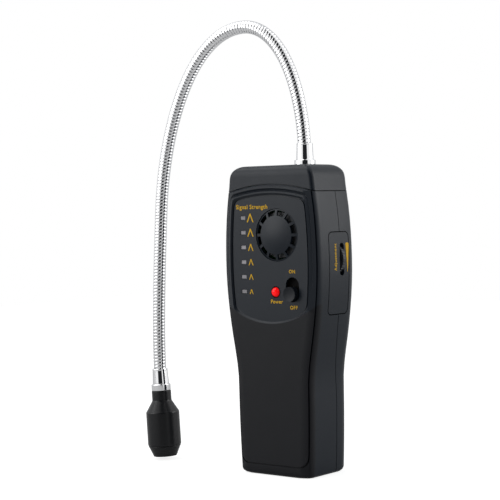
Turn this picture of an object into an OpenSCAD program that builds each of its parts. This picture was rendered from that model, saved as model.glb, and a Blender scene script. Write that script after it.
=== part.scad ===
// Refrigerant leak detector: a two-part moulded housing with a top cap, a gooseneck and a sensor head.
// Millimetres. X is to the right, Y to the back, Z up. The origin is the middle of the base.

/* [Housing] */
// Height of the housing with its cap
body_h = 163; // [150:1:180]
// Depth of the housing, front to back
depth = 35.5; // [34.5:0.5:42]
// Width at the base
base_w = 46.5; // [44:0.5:54]
// Width of the grip
grip_w = 49.2; // [46:0.2:56]
// Height of the middle of the grip
grip_z = 48; // [40:1:54]
// Width at the middle of the flare above the grip
flare_w = 57; // [54:0.2:60]
// Height of the middle of the flare
flare_z = 76; // [70:1:82]
// Slope of the sides there, in degrees
flare_slope = 9; // [4:0.5:12]
// Height of the cap at the sides, above its seam
cap_h = 14; // [11:0.5:16]
// Greatest width
bulge_w = 63.3; // [60:0.1:70]
// Distance of the greatest width below the cap's seam
bulge_drop = 37; // [32:1:44]
// Width at the cap's seam
seam_w = 57.9; // [54:0.1:62]
// Inward lean of the sides there, in degrees
seam_lean = 9.5; // [3:0.5:12]
// Rise of the cap's seam towards the middle of the front
seam_rise = 4.2; // [1:0.1:5]
// Width of the cap at its top, before rounding
top_w = 55.2; // [50:0.2:58]
// Reach of the front edges' rounding along the sides
front_r = 3.6; // [2.6:0.2:6]
// Distance of the front's outer edge from the side of the housing
edge_in = 1.4; // [1:0.1:1.8]
// Width of the slope between the front and that edge
slope_w = 4.4; // [3.4:0.1:4.8]
// Fall of that slope
slope_d = 1.6; // [1:0.1:1.8]
// Distance of the cap's front behind the housing's front
cap_back = 1.6; // [1:0.1:1.8]
// Radius of the cap's front edges
cap_r = 2.4; // [1.6:0.2:4]
// Height of the chamfer under the cap's front
ridge_h = 1.1; // [0.6:0.1:1.4]
// Radius of the rear edges
rear_r = 7; // [4:0.5:9]
// Radius of the base's edge
base_r = 2.6; // [1:0.2:4]
// Rounding of the cap's top towards the sides
cap_side_r = 7; // [3:0.5:8]
// Rounding of the cap's top towards front and back
cap_front_r = 4.5; // [2:0.5:6]
// Wall thickness
wall = 2.2; // [1.8:0.1:2.6]
// Parting line of the two halves, behind the middle, in the upper part
parting_top = 2.6; // [1.5:0.1:4]
// Parting line in the grip
parting_grip = 6.2; // [4:0.1:8]
// Width of the visible seams
seam_gap = 0.4; // [0.2:0.05:0.5]
// Height of the border groove's lower run
border_z = 5.9; // [5:0.1:9]
// Width of the border groove
border_w = 0.6; // [0.4:0.1:1]
// Depth of the border groove
border_d = 0.7; // [0.4:0.1:1]

/* [Panel] */
// Distance of the panel from the sides of the housing
panel_in = 6.2; // [5.8:0.1:8]
// Distance of the panel's top arch below the cap's seam
panel_drop = 5.6; // [4:0.1:8]
// Distance of the panel's lowest point below the cap's seam
panel_h = 68; // [66:0.5:72]
// Radius of the panel's lower edge
panel_r = 47.6; // [44:0.2:60]
// Depth of the panel below the front
panel_d = 0.9; // [0.5:0.1:1.1]
// Width of the bevel round the panel
panel_bevel = 1; // [0.4:0.1:1.4]
// Distance of the rim groove's bottom outside the panel
rim_out = 2.6; // [2.4:0.1:2.8]
// Width of each flank of the rim groove
rim_w = 0.9; // [0.5:0.1:1]
// Depth of the rim groove
rim_d = 0.9; // [0.5:0.1:1]
// Width of the groove at the foot of the panel's bevel
foot_w = 0.6; // [0.3:0.1:0.8]
// Depth of that groove
foot_d = 0.5; // [0.3:0.1:0.6]
// Grille centre to the right of the middle
grille_x = 4.9; // [0:0.1:7]
// Distance of the grille's centre below the cap's seam
grille_drop = 22.5; // [22:0.1:26]
// Radius of the dome inside the grille slots
dome_r = 10; // [9:0.1:10.4]
// Radius of the dish round the grille
dish_r = 13.9; // [13.4:0.1:14.6]
// Depth of the dome's edge in the dish
dish_d = 0.5; // [0.3:0.1:0.7]
// Height of the dome above the panel
dome_h = 2; // [1:0.1:2.6]
// Outer radius of the grille slots
slot_r = 13; // [12.4:0.1:13.2]
// Number of grille slots
slot_n = 12; // [8:1:16]
// Width of the bars between the slots
bar_w = 1.5; // [1:0.1:2]

/* [Lamps] */
// Lamp column to the left of the middle
lamp_x = 17.7; // [16:0.1:18.4]
// Distance of the top lamp below the cap's seam
lamp_drop = 13.4; // [13:0.1:15]
// Distance between lamps
lamp_pitch = 7.8; // [6:0.1:8]
// Lamp window width
lamp_w = 3.4; // [2:0.1:3.6]
// Lamp window height
lamp_h = 2.2; // [1.4:0.1:2.6]
// Power lamp to the right of the middle
power_x = 3.5; // [0:0.1:5]
// Distance of the power lamp below the cap's seam
power_drop = 52.3; // [50:0.1:55]
// Power lamp diameter
power_d = 5; // [4:0.1:5.4]

/* [Controls] */
// Switch to the right of the middle
switch_x = 14.6; // [14:0.1:16]
// Distance of the switch recess below the cap's seam
switch_drop = 50.9; // [50:0.1:52]
// Width of the switch recess
recess_w = 8.7; // [8.4:0.1:9.6]
// Diameter of the switch knob
knob_d = 7.6; // [7:0.1:8]
// Height of the knob above the panel
knob_h = 3.4; // [2:0.1:4]
// Travel of the switch
switch_travel = 4.4; // [3:0.1:4.6]
// Distance of the side insert's top edge below the cap's seam
insert_drop = 21.7; // [20:0.1:24]
// Height of the side insert
insert_h = 42.5; // [41:0.5:44]
// Front edge of the side insert
insert_y0 = -6.9; // [-9:0.1:-6]
// Width of the side insert
insert_w = 16.9; // [16:0.1:18]
// Corner radius of the side insert
insert_r = 2.5; // [1:0.1:3]
// Gap round the side insert
insert_gap = 0.5; // [0.3:0.1:0.6]
// Middle of the thumbwheel's slot behind the housing's middle
slot_y = 4; // [3.8:0.05:4.2]
// Distance of the thumbwheel behind the middle of its slot
wheel_back = 0.6; // [0:0.1:0.8]
// Distance that the thumbwheel stands out of the side
wheel_out = 1.3; // [0.4:0.1:1.4]
// Distance of the thumbwheel below the cap's seam
wheel_drop = 35.8; // [35:0.1:38]
// Thumbwheel diameter
wheel_d = 18; // [17:0.2:19]
// Thumbwheel thickness
wheel_t = 2; // [1.8:0.1:2.4]
// Number of grips on the thumbwheel
wheel_n = 36; // [24:1:40]

/* [Battery] */
// Cell diameter
cell_d = 14.2; // [13.8:0.1:14.4]
// Cell length with its pole
cell_l = 50.5; // [49:0.5:51]
// Wall of the battery tray
tray_wall = 1.3; // [1:0.1:1.4]
// Lower edge of the battery door
door_z0 = 6.3; // [5.5:0.1:8]
// Height of the battery door without its tongue
door_h = 56.4; // [55:0.2:57]
// Width of the battery door
door_w = 30.6; // [30.2:0.2:33]
// Width of the door's tongue
tongue_w = 12; // [10:0.5:16]
// Length of the door's tongue
tongue_l = 8.2; // [7.6:0.1:10]

/* [Neck] */
// Neck to the right of the middle
neck_x = 11; // [6:0.5:14]
// Neck behind the middle
neck_y = 1; // [-3:0.5:3]
// Turn of the neck's plane towards the front, in degrees
neck_yaw = 4.5; // [0:0.5:12]
// Neck outer diameter
neck_d = 7; // [6:0.1:7.4]
// Neck bore
neck_bore = 5; // [3.4:0.1:5.2]
// Depth of the grooves between the neck's turns
neck_groove = 0.4; // [0.2:0.05:0.6]
// Distance between the neck's turns
neck_pitch = 1.8; // [1.6:0.1:3]
// Reach of the neck's highest point
apex_reach = 38; // [30:1:44]
// Height of the neck's highest point
apex_z = 238.8; // [226:0.5:250]
// Reach of the neck where it starts to hang
hang_reach = 97; // [90:0.5:104]
// Height of that point
hang_z = 140; // [130:1:150]
// Reach of the neck's end beyond that point
end_out = 3.2; // [0:0.2:8]
// Height of the neck's end above the sensor head's tip
end_rise = 1.9; // [1:0.1:6]
// Height of the ferrule flanges
flange_h = 2.6; // [2:0.1:3.2]
// Diameter of the lower flange
flange_d = 11.2; // [10.6:0.1:13]
// Length of the ferrule sleeves
sleeve_l = 8.8; // [7:0.1:11]

/* [Sensor head] */
// Lean of the sensor head towards the housing, in degrees
head_lean = 3; // [0:0.5:6]
// Diameter of the barrel
barrel_d = 18.7; // [17:0.1:21]
// Length of the barrel
barrel_l = 19.2; // [16:0.2:22]
// Length of the cone above it
cone_l = 6; // [4:0.1:8]
// Diameter of the barrel's neck
collar_d = 10.9; // [10.4:0.1:12]
// Length of the barrel's neck
collar_l = 5.8; // [4:0.1:8]
// Length of the stepped tip
tip_l = 6; // [4.5:0.1:8]
// Diameter of the tip's end
tip_d = 12.4; // [11.4:0.1:14]
// Diameter of the opening in the tip
tip_hole = 8.4; // [7:0.1:9]

/* [Inside] */
// Clearance between fitted pieces
clear = 0.2; // [0.15:0.01:0.3]
// Front face of the circuit board
board_y = -6; // [-6.4:0.1:-5.6]
// Thickness of the circuit board
board_t = 1.6; // [1:0.1:2]
// Width of the circuit board
board_w = 45; // [42:0.5:45.6]
// Buzzer diameter
buzzer_d = 24; // [20:0.5:25]
// Case screw diameter
screw_d = 2.8; // [2.4:0.1:3]
// Case screw head diameter
head_d = 5.4; // [5:0.1:5.6]

/* [Hidden] */
$fn = 48;
// Housing
front_y = -depth/2;
rear_y = depth/2;
inner_y = front_y + wall;
panel_y = front_y + panel_d;
skew = 3.4;
// Heights that hang from the cap's seam
seam_z = body_h - cap_h;
bulge_z = seam_z - bulge_drop;
panel_z = seam_z - panel_h;
grille_z = seam_z - grille_drop;
lamp_z = seam_z - lamp_drop;
power_z = seam_z - power_drop;
switch_z = seam_z - switch_drop;
insert_z0 = seam_z - insert_drop - insert_h;
wheel_z = seam_z - wheel_drop;
profile = [
    [0, base_w/2, tan(skew)],
    [grip_z, grip_w/2, 0],
    [flare_z, flare_w/2, tan(flare_slope)],
    [bulge_z, bulge_w/2, 0],
    [seam_z, seam_w/2, -tan(seam_lean)],
    [body_h, top_w/2, -tan(skew)],
];
arch_r = (pow(seam_w/2, 2) + pow(seam_rise, 2))/(2*seam_rise);
arch_top = seam_z + seam_rise;
arch_z = arch_top - arch_r;
over = 3;
level_step = 7;
corner_n = 5;
lip_t = 1.2;
lip_l = 3.5;
// Rounding inside the front edges, and where the outer rounding starts, in degrees
inner_r = 5;
edge_a = 10;
// Case screws
tower_d = 8.4;
boss_d = 6.4;
screw_seat = 9;
boss_end = 2;
screw_l = 17;
// Switch
recess_h = knob_d + switch_travel + 4.5*clear;
knob_z = switch_z - switch_travel/2;
skirt_y = inner_y + 1.35;
skirt_t = 0.9;
skirt_w = recess_w + 1.8;
skirt_h = recess_h + switch_travel + 1;
switch_y = skirt_y + skirt_t + clear;
// Thumbwheel: its rim stands out of the slot in the side
wheel_y = slot_y + wheel_back;
wheel_x = bulge_w/2 + wheel_out - wheel_d/2;
wheel_bore = 3.2;
wheel_slot_w = wheel_t + 2*wheel_back + 3*clear;
wheel_slot_h = 17.2;
slot_rim = 1.4;
pot_w = 7.4;
pot_y = board_y + board_t;
pot_front = wheel_y - wheel_t/2 - 0.5;
// Power lamp: its dome's foot lies behind the panel
led_in = 1.1;
// Battery
cell_pitch = cell_d + clear;
cell_y = rear_y - wall - 2*clear - cell_d/2;
tray_x = cell_pitch/2 + cell_d/2 + 0.5;
tray_y0 = inner_y + clear;
tray_y1 = rear_y - wall - clear;
tray_z0 = wall + 2*clear;
contact_t = 0.4;
contact_h = 2.4;
leaf_l = 10;
leaf_w = 7;
strap_w = 6;
cell_z0 = tray_z0 + tray_wall + contact_h + clear/2;
tray_z1 = cell_z0 + cell_l + contact_h + clear/2 + tray_wall;
door_gap = 0.3;
door_t = wall - clear;
tongue_t = 1.4;
tongue_z = door_z0 + door_h + tongue_l/2;
// Screws of the two halves: right and left, above and below
screw_at = [[21.5, seam_z - 8.5], [17.5, tray_z1 + 6.9]];
// Circuit board and its posts
board_z0 = tray_z1 + 5.3;
board_z1 = seam_z - lip_l - 0.5;
post_d = 5;
post_bore = 2.1;
post_screw_l = 5;
post_z = board_z0 + 12;
post_at = [[-17, post_z], [4, post_z], [-6.5, board_z1 - 3.5]];
// Neck: the plane of its arch is upright and passes through the neck's foot
flange_z = body_h;
foot_z = flange_z + flange_h + 1;
sleeve_z = flange_z + flange_h + sleeve_l;
neck_r = neck_d/2;
neck_fit = 0.15;
neck_sides = 8;
foot_pull = 42;
apex_pull = [22, 33];
hang_pull = [52, 30];
hang_slope = 4;
end_pull = 30;
top_flange_h = 3.4;
top_flange_d = 10.8;
head_l = sleeve_l + top_flange_h + collar_l + cone_l + barrel_l + tip_l;
end_reach = hang_reach + end_out;
end_z = head_l*cos(head_lean) + end_rise - sleeve_l + 1;
neck_route = [
    [[0, foot_z], [0, foot_z + foot_pull], [apex_reach - apex_pull[0], apex_z], [apex_reach, apex_z]],
    [[apex_reach, apex_z], [apex_reach + apex_pull[1], apex_z],
     [hang_reach - hang_pull[0]*sin(hang_slope), hang_z + hang_pull[0]*cos(hang_slope)],
     [hang_reach, hang_z]],
    [[hang_reach, hang_z],
     [hang_reach + hang_pull[1]*sin(hang_slope), hang_z - hang_pull[1]*cos(hang_slope)],
     [end_reach + end_pull*sin(head_lean), end_z + end_pull*cos(head_lean)],
     [end_reach, end_z]],
];
nut_af = 13;
nut_h = 3.6;
washer_t = 0.9;
shank_d = 8;
wire_bore = 4.4;
// Sensor head, measured down from the top of its ferrule
sleeve_down = sleeve_l;
collar_down = sleeve_down + top_flange_h;
cone_down = collar_down + collar_l;
barrel_down = cone_down + cone_l;
tip_down = barrel_down + barrel_l;
head_wall = 1.6;
spigot_d = 6.6;
element_d = 9.6;
element_l = 6.5;

LAMPS = [for (i = [1:6]) str("indicator_led_", i)];
CELLS = [for (i = [1:4]) str("battery_cell_", i)];
CONTACTS = [for (i = [1:5]) str("battery_contact_", i)];

// Curves

// Value of a smooth curve through stations [place, value, slope]
function smooth(stations, z, i = 0) =
    i < len(stations) - 2 && z > stations[i + 1][0] ? smooth(stations, z, i + 1) :
    let (a = stations[i], b = stations[i + 1], d = b[0] - a[0], t = (z - a[0])/d)
    a[1]*(2*t*t*t - 3*t*t + 1) + d*a[2]*(t*t*t - 2*t*t + t)
    + b[1]*(3*t*t - 2*t*t*t) + d*b[2]*(t*t*t - t*t);

function half_width(z) = smooth(profile, z);

// Place of the parting line of the two halves at a height
function parting(z) = smooth([[0, parting_grip, 0], [grip_z - 8, parting_grip, 0],
    [flare_z + 8, parting_top, 0], [body_h, parting_top, 0]], z);

// How far an edge of radius r has come in at distance d from the end of the body
function rounding(r, d) = d < r ? r - sqrt(max(0, r*r - pow(r - d, 2))) : 0;

function arc(x, y, r, a0, a1, n = corner_n) =
    [for (i = [0:n]) let (a = a0 + (a1 - a0)*i/n) [x + r*cos(a), y + r*sin(a)]];

// Points of a cubic stretch with four controls, and its direction
function cubic(c, t) = c[0]*pow(1 - t, 3) + 3*c[1]*pow(1 - t, 2)*t + 3*c[2]*(1 - t)*t*t + c[3]*t*t*t;
function cubic_way(c, t) = let (v = (c[1] - c[0])*pow(1 - t, 2) + 2*(c[2] - c[1])*(1 - t)*t
    + (c[3] - c[2])*t*t) v/norm(v);

// Skins: a closed solid through rings of points, and a tube-like one whose last ring joins the first

function skin_faces(rings, n, closed = false) =
    [for (i = [0:rings - (closed ? 1 : 2)], j = [0:n - 1])
        let (a = i*n + j, b = i*n + (j + 1)%n, c = ((i + 1)%rings)*n + (j + 1)%n, d = ((i + 1)%rings)*n + j)
        each [[a, d, c], [a, c, b]]];

module skin(rings) {
    n = len(rings[0]);
    m = len(rings);
    polyhedron([for (r = rings) each r], concat(skin_faces(m, n),
        [[for (j = [0:n - 1]) j], [for (j = [n - 1:-1:0]) (m - 1)*n + j]]));
}

module skin_loop(rings) {
    polyhedron([for (r = rings) each r], skin_faces(len(rings), len(rings[0]), true));
}

// Sections of the housing, anticlockwise from above; inset moves the outline inwards

// The right half of a front: a plain corner, or a slope that runs into a longer rounding along the side
function plain(w, y, r) = arc(w - r, y + r, r, 270, 360);
function sloped(w, y) = let (rx = edge_in/(1 - sin(edge_a))) concat([[w - edge_in - slope_w, y]],
    [for (i = [0:corner_n]) let (a = edge_a + (90 - edge_a)*i/corner_n)
        [w - rx*(1 - sin(a)), y + slope_d + front_r*(cos(edge_a) - cos(a))]]);
function both_sides(points) =
    concat([for (i = [len(points) - 1:-1:0]) [-points[i][0], points[i][1]]], points);
function inside_r(inset) = max(inner_r + wall - inset, 0.8);

function section_front(z, inset, side, end) = let (w = half_width(z) - inset - side,
    y = front_y + inset + end)
    both_sides(inset < wall ? sloped(w, y) : plain(w, y, inside_r(inset)));

// The cap's front lies further back than the housing's
function section_cap(z, inset, side, end, back) = let (w = half_width(z) - inset - side)
    both_sides(plain(w, front_y + back + inset + end, back > 0 ? cap_r : inside_r(inset)));

function section_rear(z, inset, side, end) = let (w = half_width(z) - inset - side,
    y = rear_y - inset - end, r = max(rear_r - inset, 0.8))
    concat(arc(w - r, y - r, r, 0, 90), arc(-w + r, y - r, r, 90, 180));

function lift(points, z) = [for (p = points) [p[0], p[1], z]];

// Heights of the sections from z0 to z1, closer together in the base's rounding
function levels(z0, z1) = let (n = ceil((z1 - base_r)/level_step)) concat(
    z0 < base_r ? [for (a = [0:30:60]) max(z0, base_r*(1 - cos(a)))] : [z0],
    [for (i = [z0 < base_r ? 0 : ceil((z0 - base_r)/level_step + 0.2):n])
        base_r + (z1 - base_r)*i/n]);

function base_in(z, inset) = inset > 0 ? 0 : rounding(base_r, z);

// Front or rear half as a solid, from z0 to z1; past moves its parting face backwards
module half_front(inset, z0, z1, past) {
    skin([for (z = levels(z0, z1)) let (e = base_in(z, inset), w = half_width(z) - inset - e,
        y = parting(z) + past) lift(concat([[-w, y]], section_front(z, inset, e, e), [[w, y]]), z)]);
}

module half_rear(inset, z0, z1, past) {
    skin([for (z = levels(z0, z1)) let (e = base_in(z, inset), w = half_width(z) - inset - e,
        y = parting(z) + past) lift(concat([[w, y]], section_rear(z, inset, e, e), [[-w, y]]), z)]);
}

// The whole outline as a solid between two heights; back moves its front backwards
module whole(inset, heights, back = 0) {
    skin([for (z = heights) let (s = inset > 0 ? 0 : rounding(cap_side_r, body_h - z),
        e = inset > 0 ? 0 : rounding(cap_front_r, body_h - z))
        lift(concat(section_cap(z, inset, s, e, back), section_rear(z, inset, s, e)), z)]);
}

// Everything under the cap's arched seam, and d below it
module under_arch(d) {
    translate([0, depth, arch_z]) rotate([90, 0, 0]) cylinder(r = arch_r - d, h = 2*depth, $fn = 200);
}

// Everything under the seam, with a chamfer at the front where the housing stands out from the cap
module under_ridge() {
    r = arch_r - seam_gap/2;
    translate([0, 0, arch_z]) rotate([90, 0, 0]) rotate_extrude($fn = 200)
        polygon([[0, -depth], [r, -depth], [r, -front_y - cap_back], [r - ridge_h, -front_y],
            [0, -front_y]]);
}

// Flat outlines on the front, X to the right and Z upwards

function mirrored(points) = concat(points, [for (i = [len(points) - 1:-1:0]) [-points[i][0], points[i][1]]]);

function bend(a, b, c, n = 4) = [for (i = [0:n]) let (t = i/n) a*pow(1 - t, 2) + 2*b*t*(1 - t) + c*t*t];

// The panel's outline, d outside its edge: lower arc, corner, side, corner, upper arc
function panel_outline(d) = let (
    low = [0, panel_z + panel_r], low_r = panel_r + d, high_r = arch_r - panel_drop + d,
    low_at = function(x) low[1] - sqrt(low_r*low_r - x*x),
    high_at = function(x) arch_z + sqrt(high_r*high_r - x*x),
    side_at = function(z) half_width(z) - panel_in + d,
    x0 = side_at(panel_z + 6.5), z0 = low_at(x0),
    x1 = side_at(seam_z - panel_drop + 1), z1 = high_at(x1), c = 3)
    mirrored(concat([for (i = [0:7]) let (x = (x0 - c)*i/7) [x, low_at(x)]],
        bend([x0 - c, low_at(x0 - c)], [x0, z0], [side_at(z0 + c), z0 + c]),
        [for (i = [1:7]) let (z = z0 + c + (z1 - z0 - 2*c)*i/8) [side_at(z), z]],
        bend([side_at(z1 - c), z1 - c], [x1, z1], [x1 - c, high_at(x1 - c)]),
        [for (i = [6:-1:0]) let (x = (x1 - c)*i/7) [x, high_at(x)]]));

// The border groove's outline, d inside the housing's: open upwards
function border_outline(d) = let (c = 6, z0 = border_z + d,
    side_at = function(z) half_width(z) - edge_in - d)
    mirrored(concat([[0, z0], [side_at(z0 + c) - c, z0]],
        bend([side_at(z0 + c) - c, z0], [side_at(z0 + c/2), z0], [side_at(z0 + c), z0 + c], 6),
        [for (i = [1:20]) let (z = z0 + c + (body_h - z0 - c)*i/20) [side_at(z), z]]));

// Places a flat outline on the front, from depth y to far in front
module on_front(y) {
    translate([0, y, 0]) rotate([90, 0, 0]) linear_extrude(y - front_y + over) children();
}

// A groove of depth d that follows the front's own curve
module front_groove(d) {
    difference() {
        on_front(front_y + front_r) children();
        half_front(d, d, body_h, over);
    }
}

// A prism from ring to ring of panel outlines: places [y, distance outside the panel]
module panel_prism(places) {
    skin([for (p = places) [for (q = panel_outline(p[1])) [q[0], p[0], q[1]]]]);
}

// Everything above a height at depth y; the height climbs with depth, so that grooves run out
module above(z, y) {
    climb = 12;
    rotate([90, 0, 90]) linear_extrude(2*bulge_w, center = true)
        polygon([[y - over, z - climb*over], [y + over, z + climb*over], [y + over, 2*body_h],
            [y - over, 2*body_h]]);
}

// The groove of two flanks that follows the panel's edge at a distance
module rim_groove() {
    steep = rim_w/rim_d;
    intersection() {
        difference() {
            panel_prism([[front_y + rim_d, rim_out], [front_y, rim_out + rim_w],
                [front_y - over, rim_out + rim_w]]);
            panel_prism([[front_y + rim_d + clear, rim_out + (clear - 0.1)*steep],
                [front_y - over, rim_out - rim_w - (over + 0.1)*steep]]);
        }
        above(bulge_z - 22, front_y);
    }
}

// The narrow groove at the foot of the panel's bevel, which runs out towards the panel's lower edge
module foot_groove() {
    intersection() {
        on_front(panel_y + foot_d) difference() {
            polygon(panel_outline(0));
            polygon(panel_outline(-foot_w));
        }
        above(panel_z + 4, panel_y);
    }
}

// A round bar along Y from y0 to y1
module along_y(x, z, d, y0, y1) {
    translate([x, y1, z]) rotate([90, 0, 0]) cylinder(d = d, h = y1 - y0);
}

module stadium(w, h) {
    square([w, h - w], center = true);
    for (s = [-1, 1]) translate([0, s*(h - w)/2]) circle(d = w);
}

module rounded(w, h, r) {
    square([w, h - 2*r], center = true);
    square([w - 2*r, h], center = true);
    for (x = [-1, 1], y = [-1, 1]) translate([x*(w/2 - r), y*(h/2 - r)]) circle(r = r);
}

// Prism of the side insert's outline, grown by d, through the right wall
module insert_prism(d) {
    translate([bulge_w/2 - wall - over, insert_y0 + insert_w/2, insert_z0 + insert_h/2])
        rotate([90, 0, 90]) linear_extrude(wall + 2*over)
        rounded(insert_w + 2*d, insert_h + 2*d, insert_r + d);
}

module case_screw_places() {
    for (p = screw_at, s = [-1, 1]) translate([s*p[0], 0, p[1]]) children();
}

// Housing

module grille() {
    for (i = [0:slot_n - 1]) rotate(i*360/slot_n + 180/slot_n) intersection() {
        difference() {
            circle(r = slot_r);
            circle(r = dome_r + 0.2);
        }
        polygon([[0, bar_w/2/sin(180/slot_n)], 20*[-sin(180/slot_n), cos(180/slot_n)] + [bar_w/2, 0],
            20*[sin(180/slot_n), cos(180/slot_n)] - [bar_w/2, 0]]);
    }
}

module grille_dome() {
    rise = dome_h + dish_d;
    ball = (dish_r*dish_r + rise*rise)/(2*rise);
    translate([grille_x, panel_y - dome_h + ball, grille_z]) intersection() {
        sphere(r = ball, $fn = 96);
        rotate([90, 0, 0]) cylinder(r = dish_r + 0.1, h = ball + 1);
    }
}

module front_shell() {
    top = arch_top + 2;
    color("#2b2d2f") difference() {
        union() {
            difference() {
                intersection() {
                    half_front(0, 0, top, -seam_gap/2);
                    under_ridge();
                }
                half_front(wall, wall, top + over, over);
                panel_prism([[panel_y, 0], [front_y, panel_bevel], [front_y - over, panel_bevel + over]]);
                front_groove(border_d) difference() {
                    polygon(border_outline(-border_w/2));
                    polygon(border_outline(border_w/2));
                }
                rim_groove();
                foot_groove();
                along_y(grille_x, grille_z, 2*dish_r, front_y - over, inner_y + over);
            }
            grille_dome_shell();
            case_screw_places() along_y(0, 0, boss_d, panel_y + 0.6, boss_end);
            for (p = post_at) along_y(p[0], p[1], post_d, panel_y + 0.6, board_y);
        }
        translate([grille_x, 0, grille_z]) along_front() grille();
        for (i = [0:5]) translate([-lamp_x, 0, lamp_z - i*lamp_pitch]) along_front()
            square([lamp_w, lamp_h], center = true);
        along_y(power_x, power_z, power_d + 2*clear, front_y - over, inner_y + over);
        translate([switch_x, 0, switch_z]) along_front() stadium(recess_w, recess_h);
        insert_prism(insert_gap);
        case_screw_places() along_y(0, 0, screw_d + clear, screw_seat - screw_l - 1, boss_end + over);
        for (p = post_at) along_y(p[0], p[1], post_bore, inner_y + over, board_y + over);
    }
}

// Cuts a flat shape through the front wall
module along_front() {
    translate([0, inner_y + over, 0]) rotate([90, 0, 0]) linear_extrude(wall + 2*over) children();
}

// The dome is as thick as the panel
module grille_dome_shell() {
    difference() {
        intersection() {
            grille_dome();
            translate([grille_x - 2*dish_r, front_y - over, grille_z - 2*dish_r])
                cube([4*dish_r, over + wall + dish_d, 4*dish_r]);
        }
        translate([0, wall - panel_d, 0]) grille_dome();
    }
}

module rear_shell() {
    top = arch_top + 2;
    pad_z = door_z0 + door_h;
    color("#2b2d2f") difference() {
        union() {
            difference() {
                intersection() {
                    half_rear(0, 0, top, seam_gap/2);
                    under_arch(seam_gap/2);
                }
                half_rear(wall, wall, top + over, -over);
            }
            case_screw_places() along_y(0, 0, tower_d, boss_end + clear, rear_y - wall/2);
            along_y(0, tongue_z, boss_d + 1, screw_seat - 1, rear_y - wall/2);
        }
        case_screw_places() {
            along_y(0, 0, screw_d + 2*clear, boss_end - 1, rear_y + over);
            along_y(0, 0, head_d + 4*clear, screw_seat, rear_y + over);
        }
        translate([0, rear_y + over, door_z0 + door_h/2]) rotate([90, 0, 0]) linear_extrude(wall + 2*over)
            rounded(door_w + 2*door_gap, door_h + 2*door_gap, 2);
        translate([0, rear_y + over, tongue_z - over/2]) rotate([90, 0, 0])
            linear_extrude(tongue_t + clear + over)
            rounded(tongue_w + 2*door_gap, tongue_l + over + 2*door_gap, 2);
        along_y(0, tongue_z, screw_d + clear, screw_seat - 2, rear_y + over);
        insert_prism(insert_gap);
    }
}

module top_cap() {
    low = seam_z - 2;
    lip_in = wall + seam_gap;
    rise = [for (t = [0:0.125:1]) body_h - cap_side_r*(1 - sin(90*t))];
    color("#2f3133") difference() {
        union() {
            difference() {
                whole(0, concat([low, seam_z + 3], rise), cap_back);
                whole(wall, [low - over, seam_z + 3, body_h - wall], cap_back);
                under_arch(-seam_gap/2);
            }
            difference() {
                whole(wall - 0.5, [arch_top + 1, arch_top + 4], cap_back);
                whole(lip_in + lip_t, [arch_top, arch_top + 5]);
            }
            difference() {
                whole(lip_in, [seam_z - lip_l, arch_top + 3]);
                whole(lip_in + lip_t, [seam_z - lip_l - 1, arch_top + 5]);
            }
        }
        translate([neck_x, neck_y, body_h - wall - over]) cylinder(d = shank_d + 2*clear, h = wall + 2*over);
    }
}

module side_insert() {
    color("#303234") difference() {
        union() {
            intersection() {
                difference() {
                    whole(0, [for (i = [-1:7]) insert_z0 + insert_h*i/6]);
                    whole(wall, [for (i = [-2:8]) insert_z0 + insert_h*i/6]);
                }
                insert_prism(0);
            }
            // Flange behind the wall that keeps the plate in its opening
            intersection() {
                difference() {
                    whole(wall - 0.4, [for (i = [-1:7]) insert_z0 + insert_h*i/6]);
                    whole(wall + 1.1, [for (i = [-2:8]) insert_z0 + insert_h*i/6]);
                }
                insert_prism(-seam_gap);
            }
        }
        translate([bulge_w/2 - wall - over, slot_y, wheel_z]) rotate([90, 0, 90]) {
            linear_extrude(wall + 2*over) stadium(wheel_slot_w, wheel_slot_h);
            linear_extrude(wall + over - slot_rim) stadium(wheel_slot_w + 1, wheel_slot_h + 3);
        }
    }
}

// Controls

module thumbwheel() {
    r = wheel_d/2;
    nick = 360/wheel_n;
    color("#1c1d1e") translate([wheel_x, wheel_y, wheel_z]) rotate([90, 0, 0]) difference() {
        linear_extrude(wheel_t, center = true)
            polygon([for (i = [0:wheel_n - 1], q = [[0, 0], [0.5, 0], [0.65, 0.25], [0.85, 0.25]])
                let (a = (i + q[0])*nick) (r - q[1])*[cos(a), sin(a)]]);
        cylinder(d = wheel_bore, h = 2*wheel_t, center = true);
        for (s = [-1, 1]) translate([0, 0, s*wheel_t/2]) rotate_extrude()
            translate([r/2 + 1, 0]) square([r/2, 1.2], center = true);
    }
}

module potentiometer() {
    shaft_end = wheel_y + wheel_t/2;
    color("#3a4a5c") {
        translate([wheel_x - pot_w/2, pot_y, wheel_z - pot_w/2]) cube([pot_w, pot_front - pot_y, pot_w]);
        along_y(wheel_x, wheel_z, wheel_bore - clear, pot_front - 0.5, shaft_end + clear + 0.6);
        along_y(wheel_x, wheel_z, wheel_bore + 1.4, shaft_end + clear, shaft_end + clear + 0.8);
    }
}

module switch_knob() {
    color("#232527") {
        difference() {
            along_y(switch_x, knob_z, knob_d, panel_y - knob_h, skirt_y + skirt_t/2);
            // Shallow finger hollow
            translate([switch_x, panel_y - knob_h - 15.2, knob_z]) sphere(r = 16);
        }
        translate([switch_x, skirt_y + skirt_t, knob_z]) rotate([90, 0, 0]) linear_extrude(skirt_t)
            rounded(skirt_w, skirt_h, 2);
        translate([switch_x - 1.2, skirt_y + skirt_t/2, knob_z - 1.6]) cube([2.4, 3, 3.2]);
    }
}

module slide_switch() {
    w = skirt_w;
    h = skirt_h;
    color("#8b8f94") difference() {
        translate([switch_x - w/2, switch_y, switch_z - h/2]) cube([w, board_y - switch_y, h]);
        translate([switch_x - 1.2 - clear, switch_y - 1, switch_z - switch_travel/2 - 1.6 - clear])
            cube([2.4 + 2*clear, 4.2, switch_travel + 3.2 + 2*clear]);
    }
}

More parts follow.
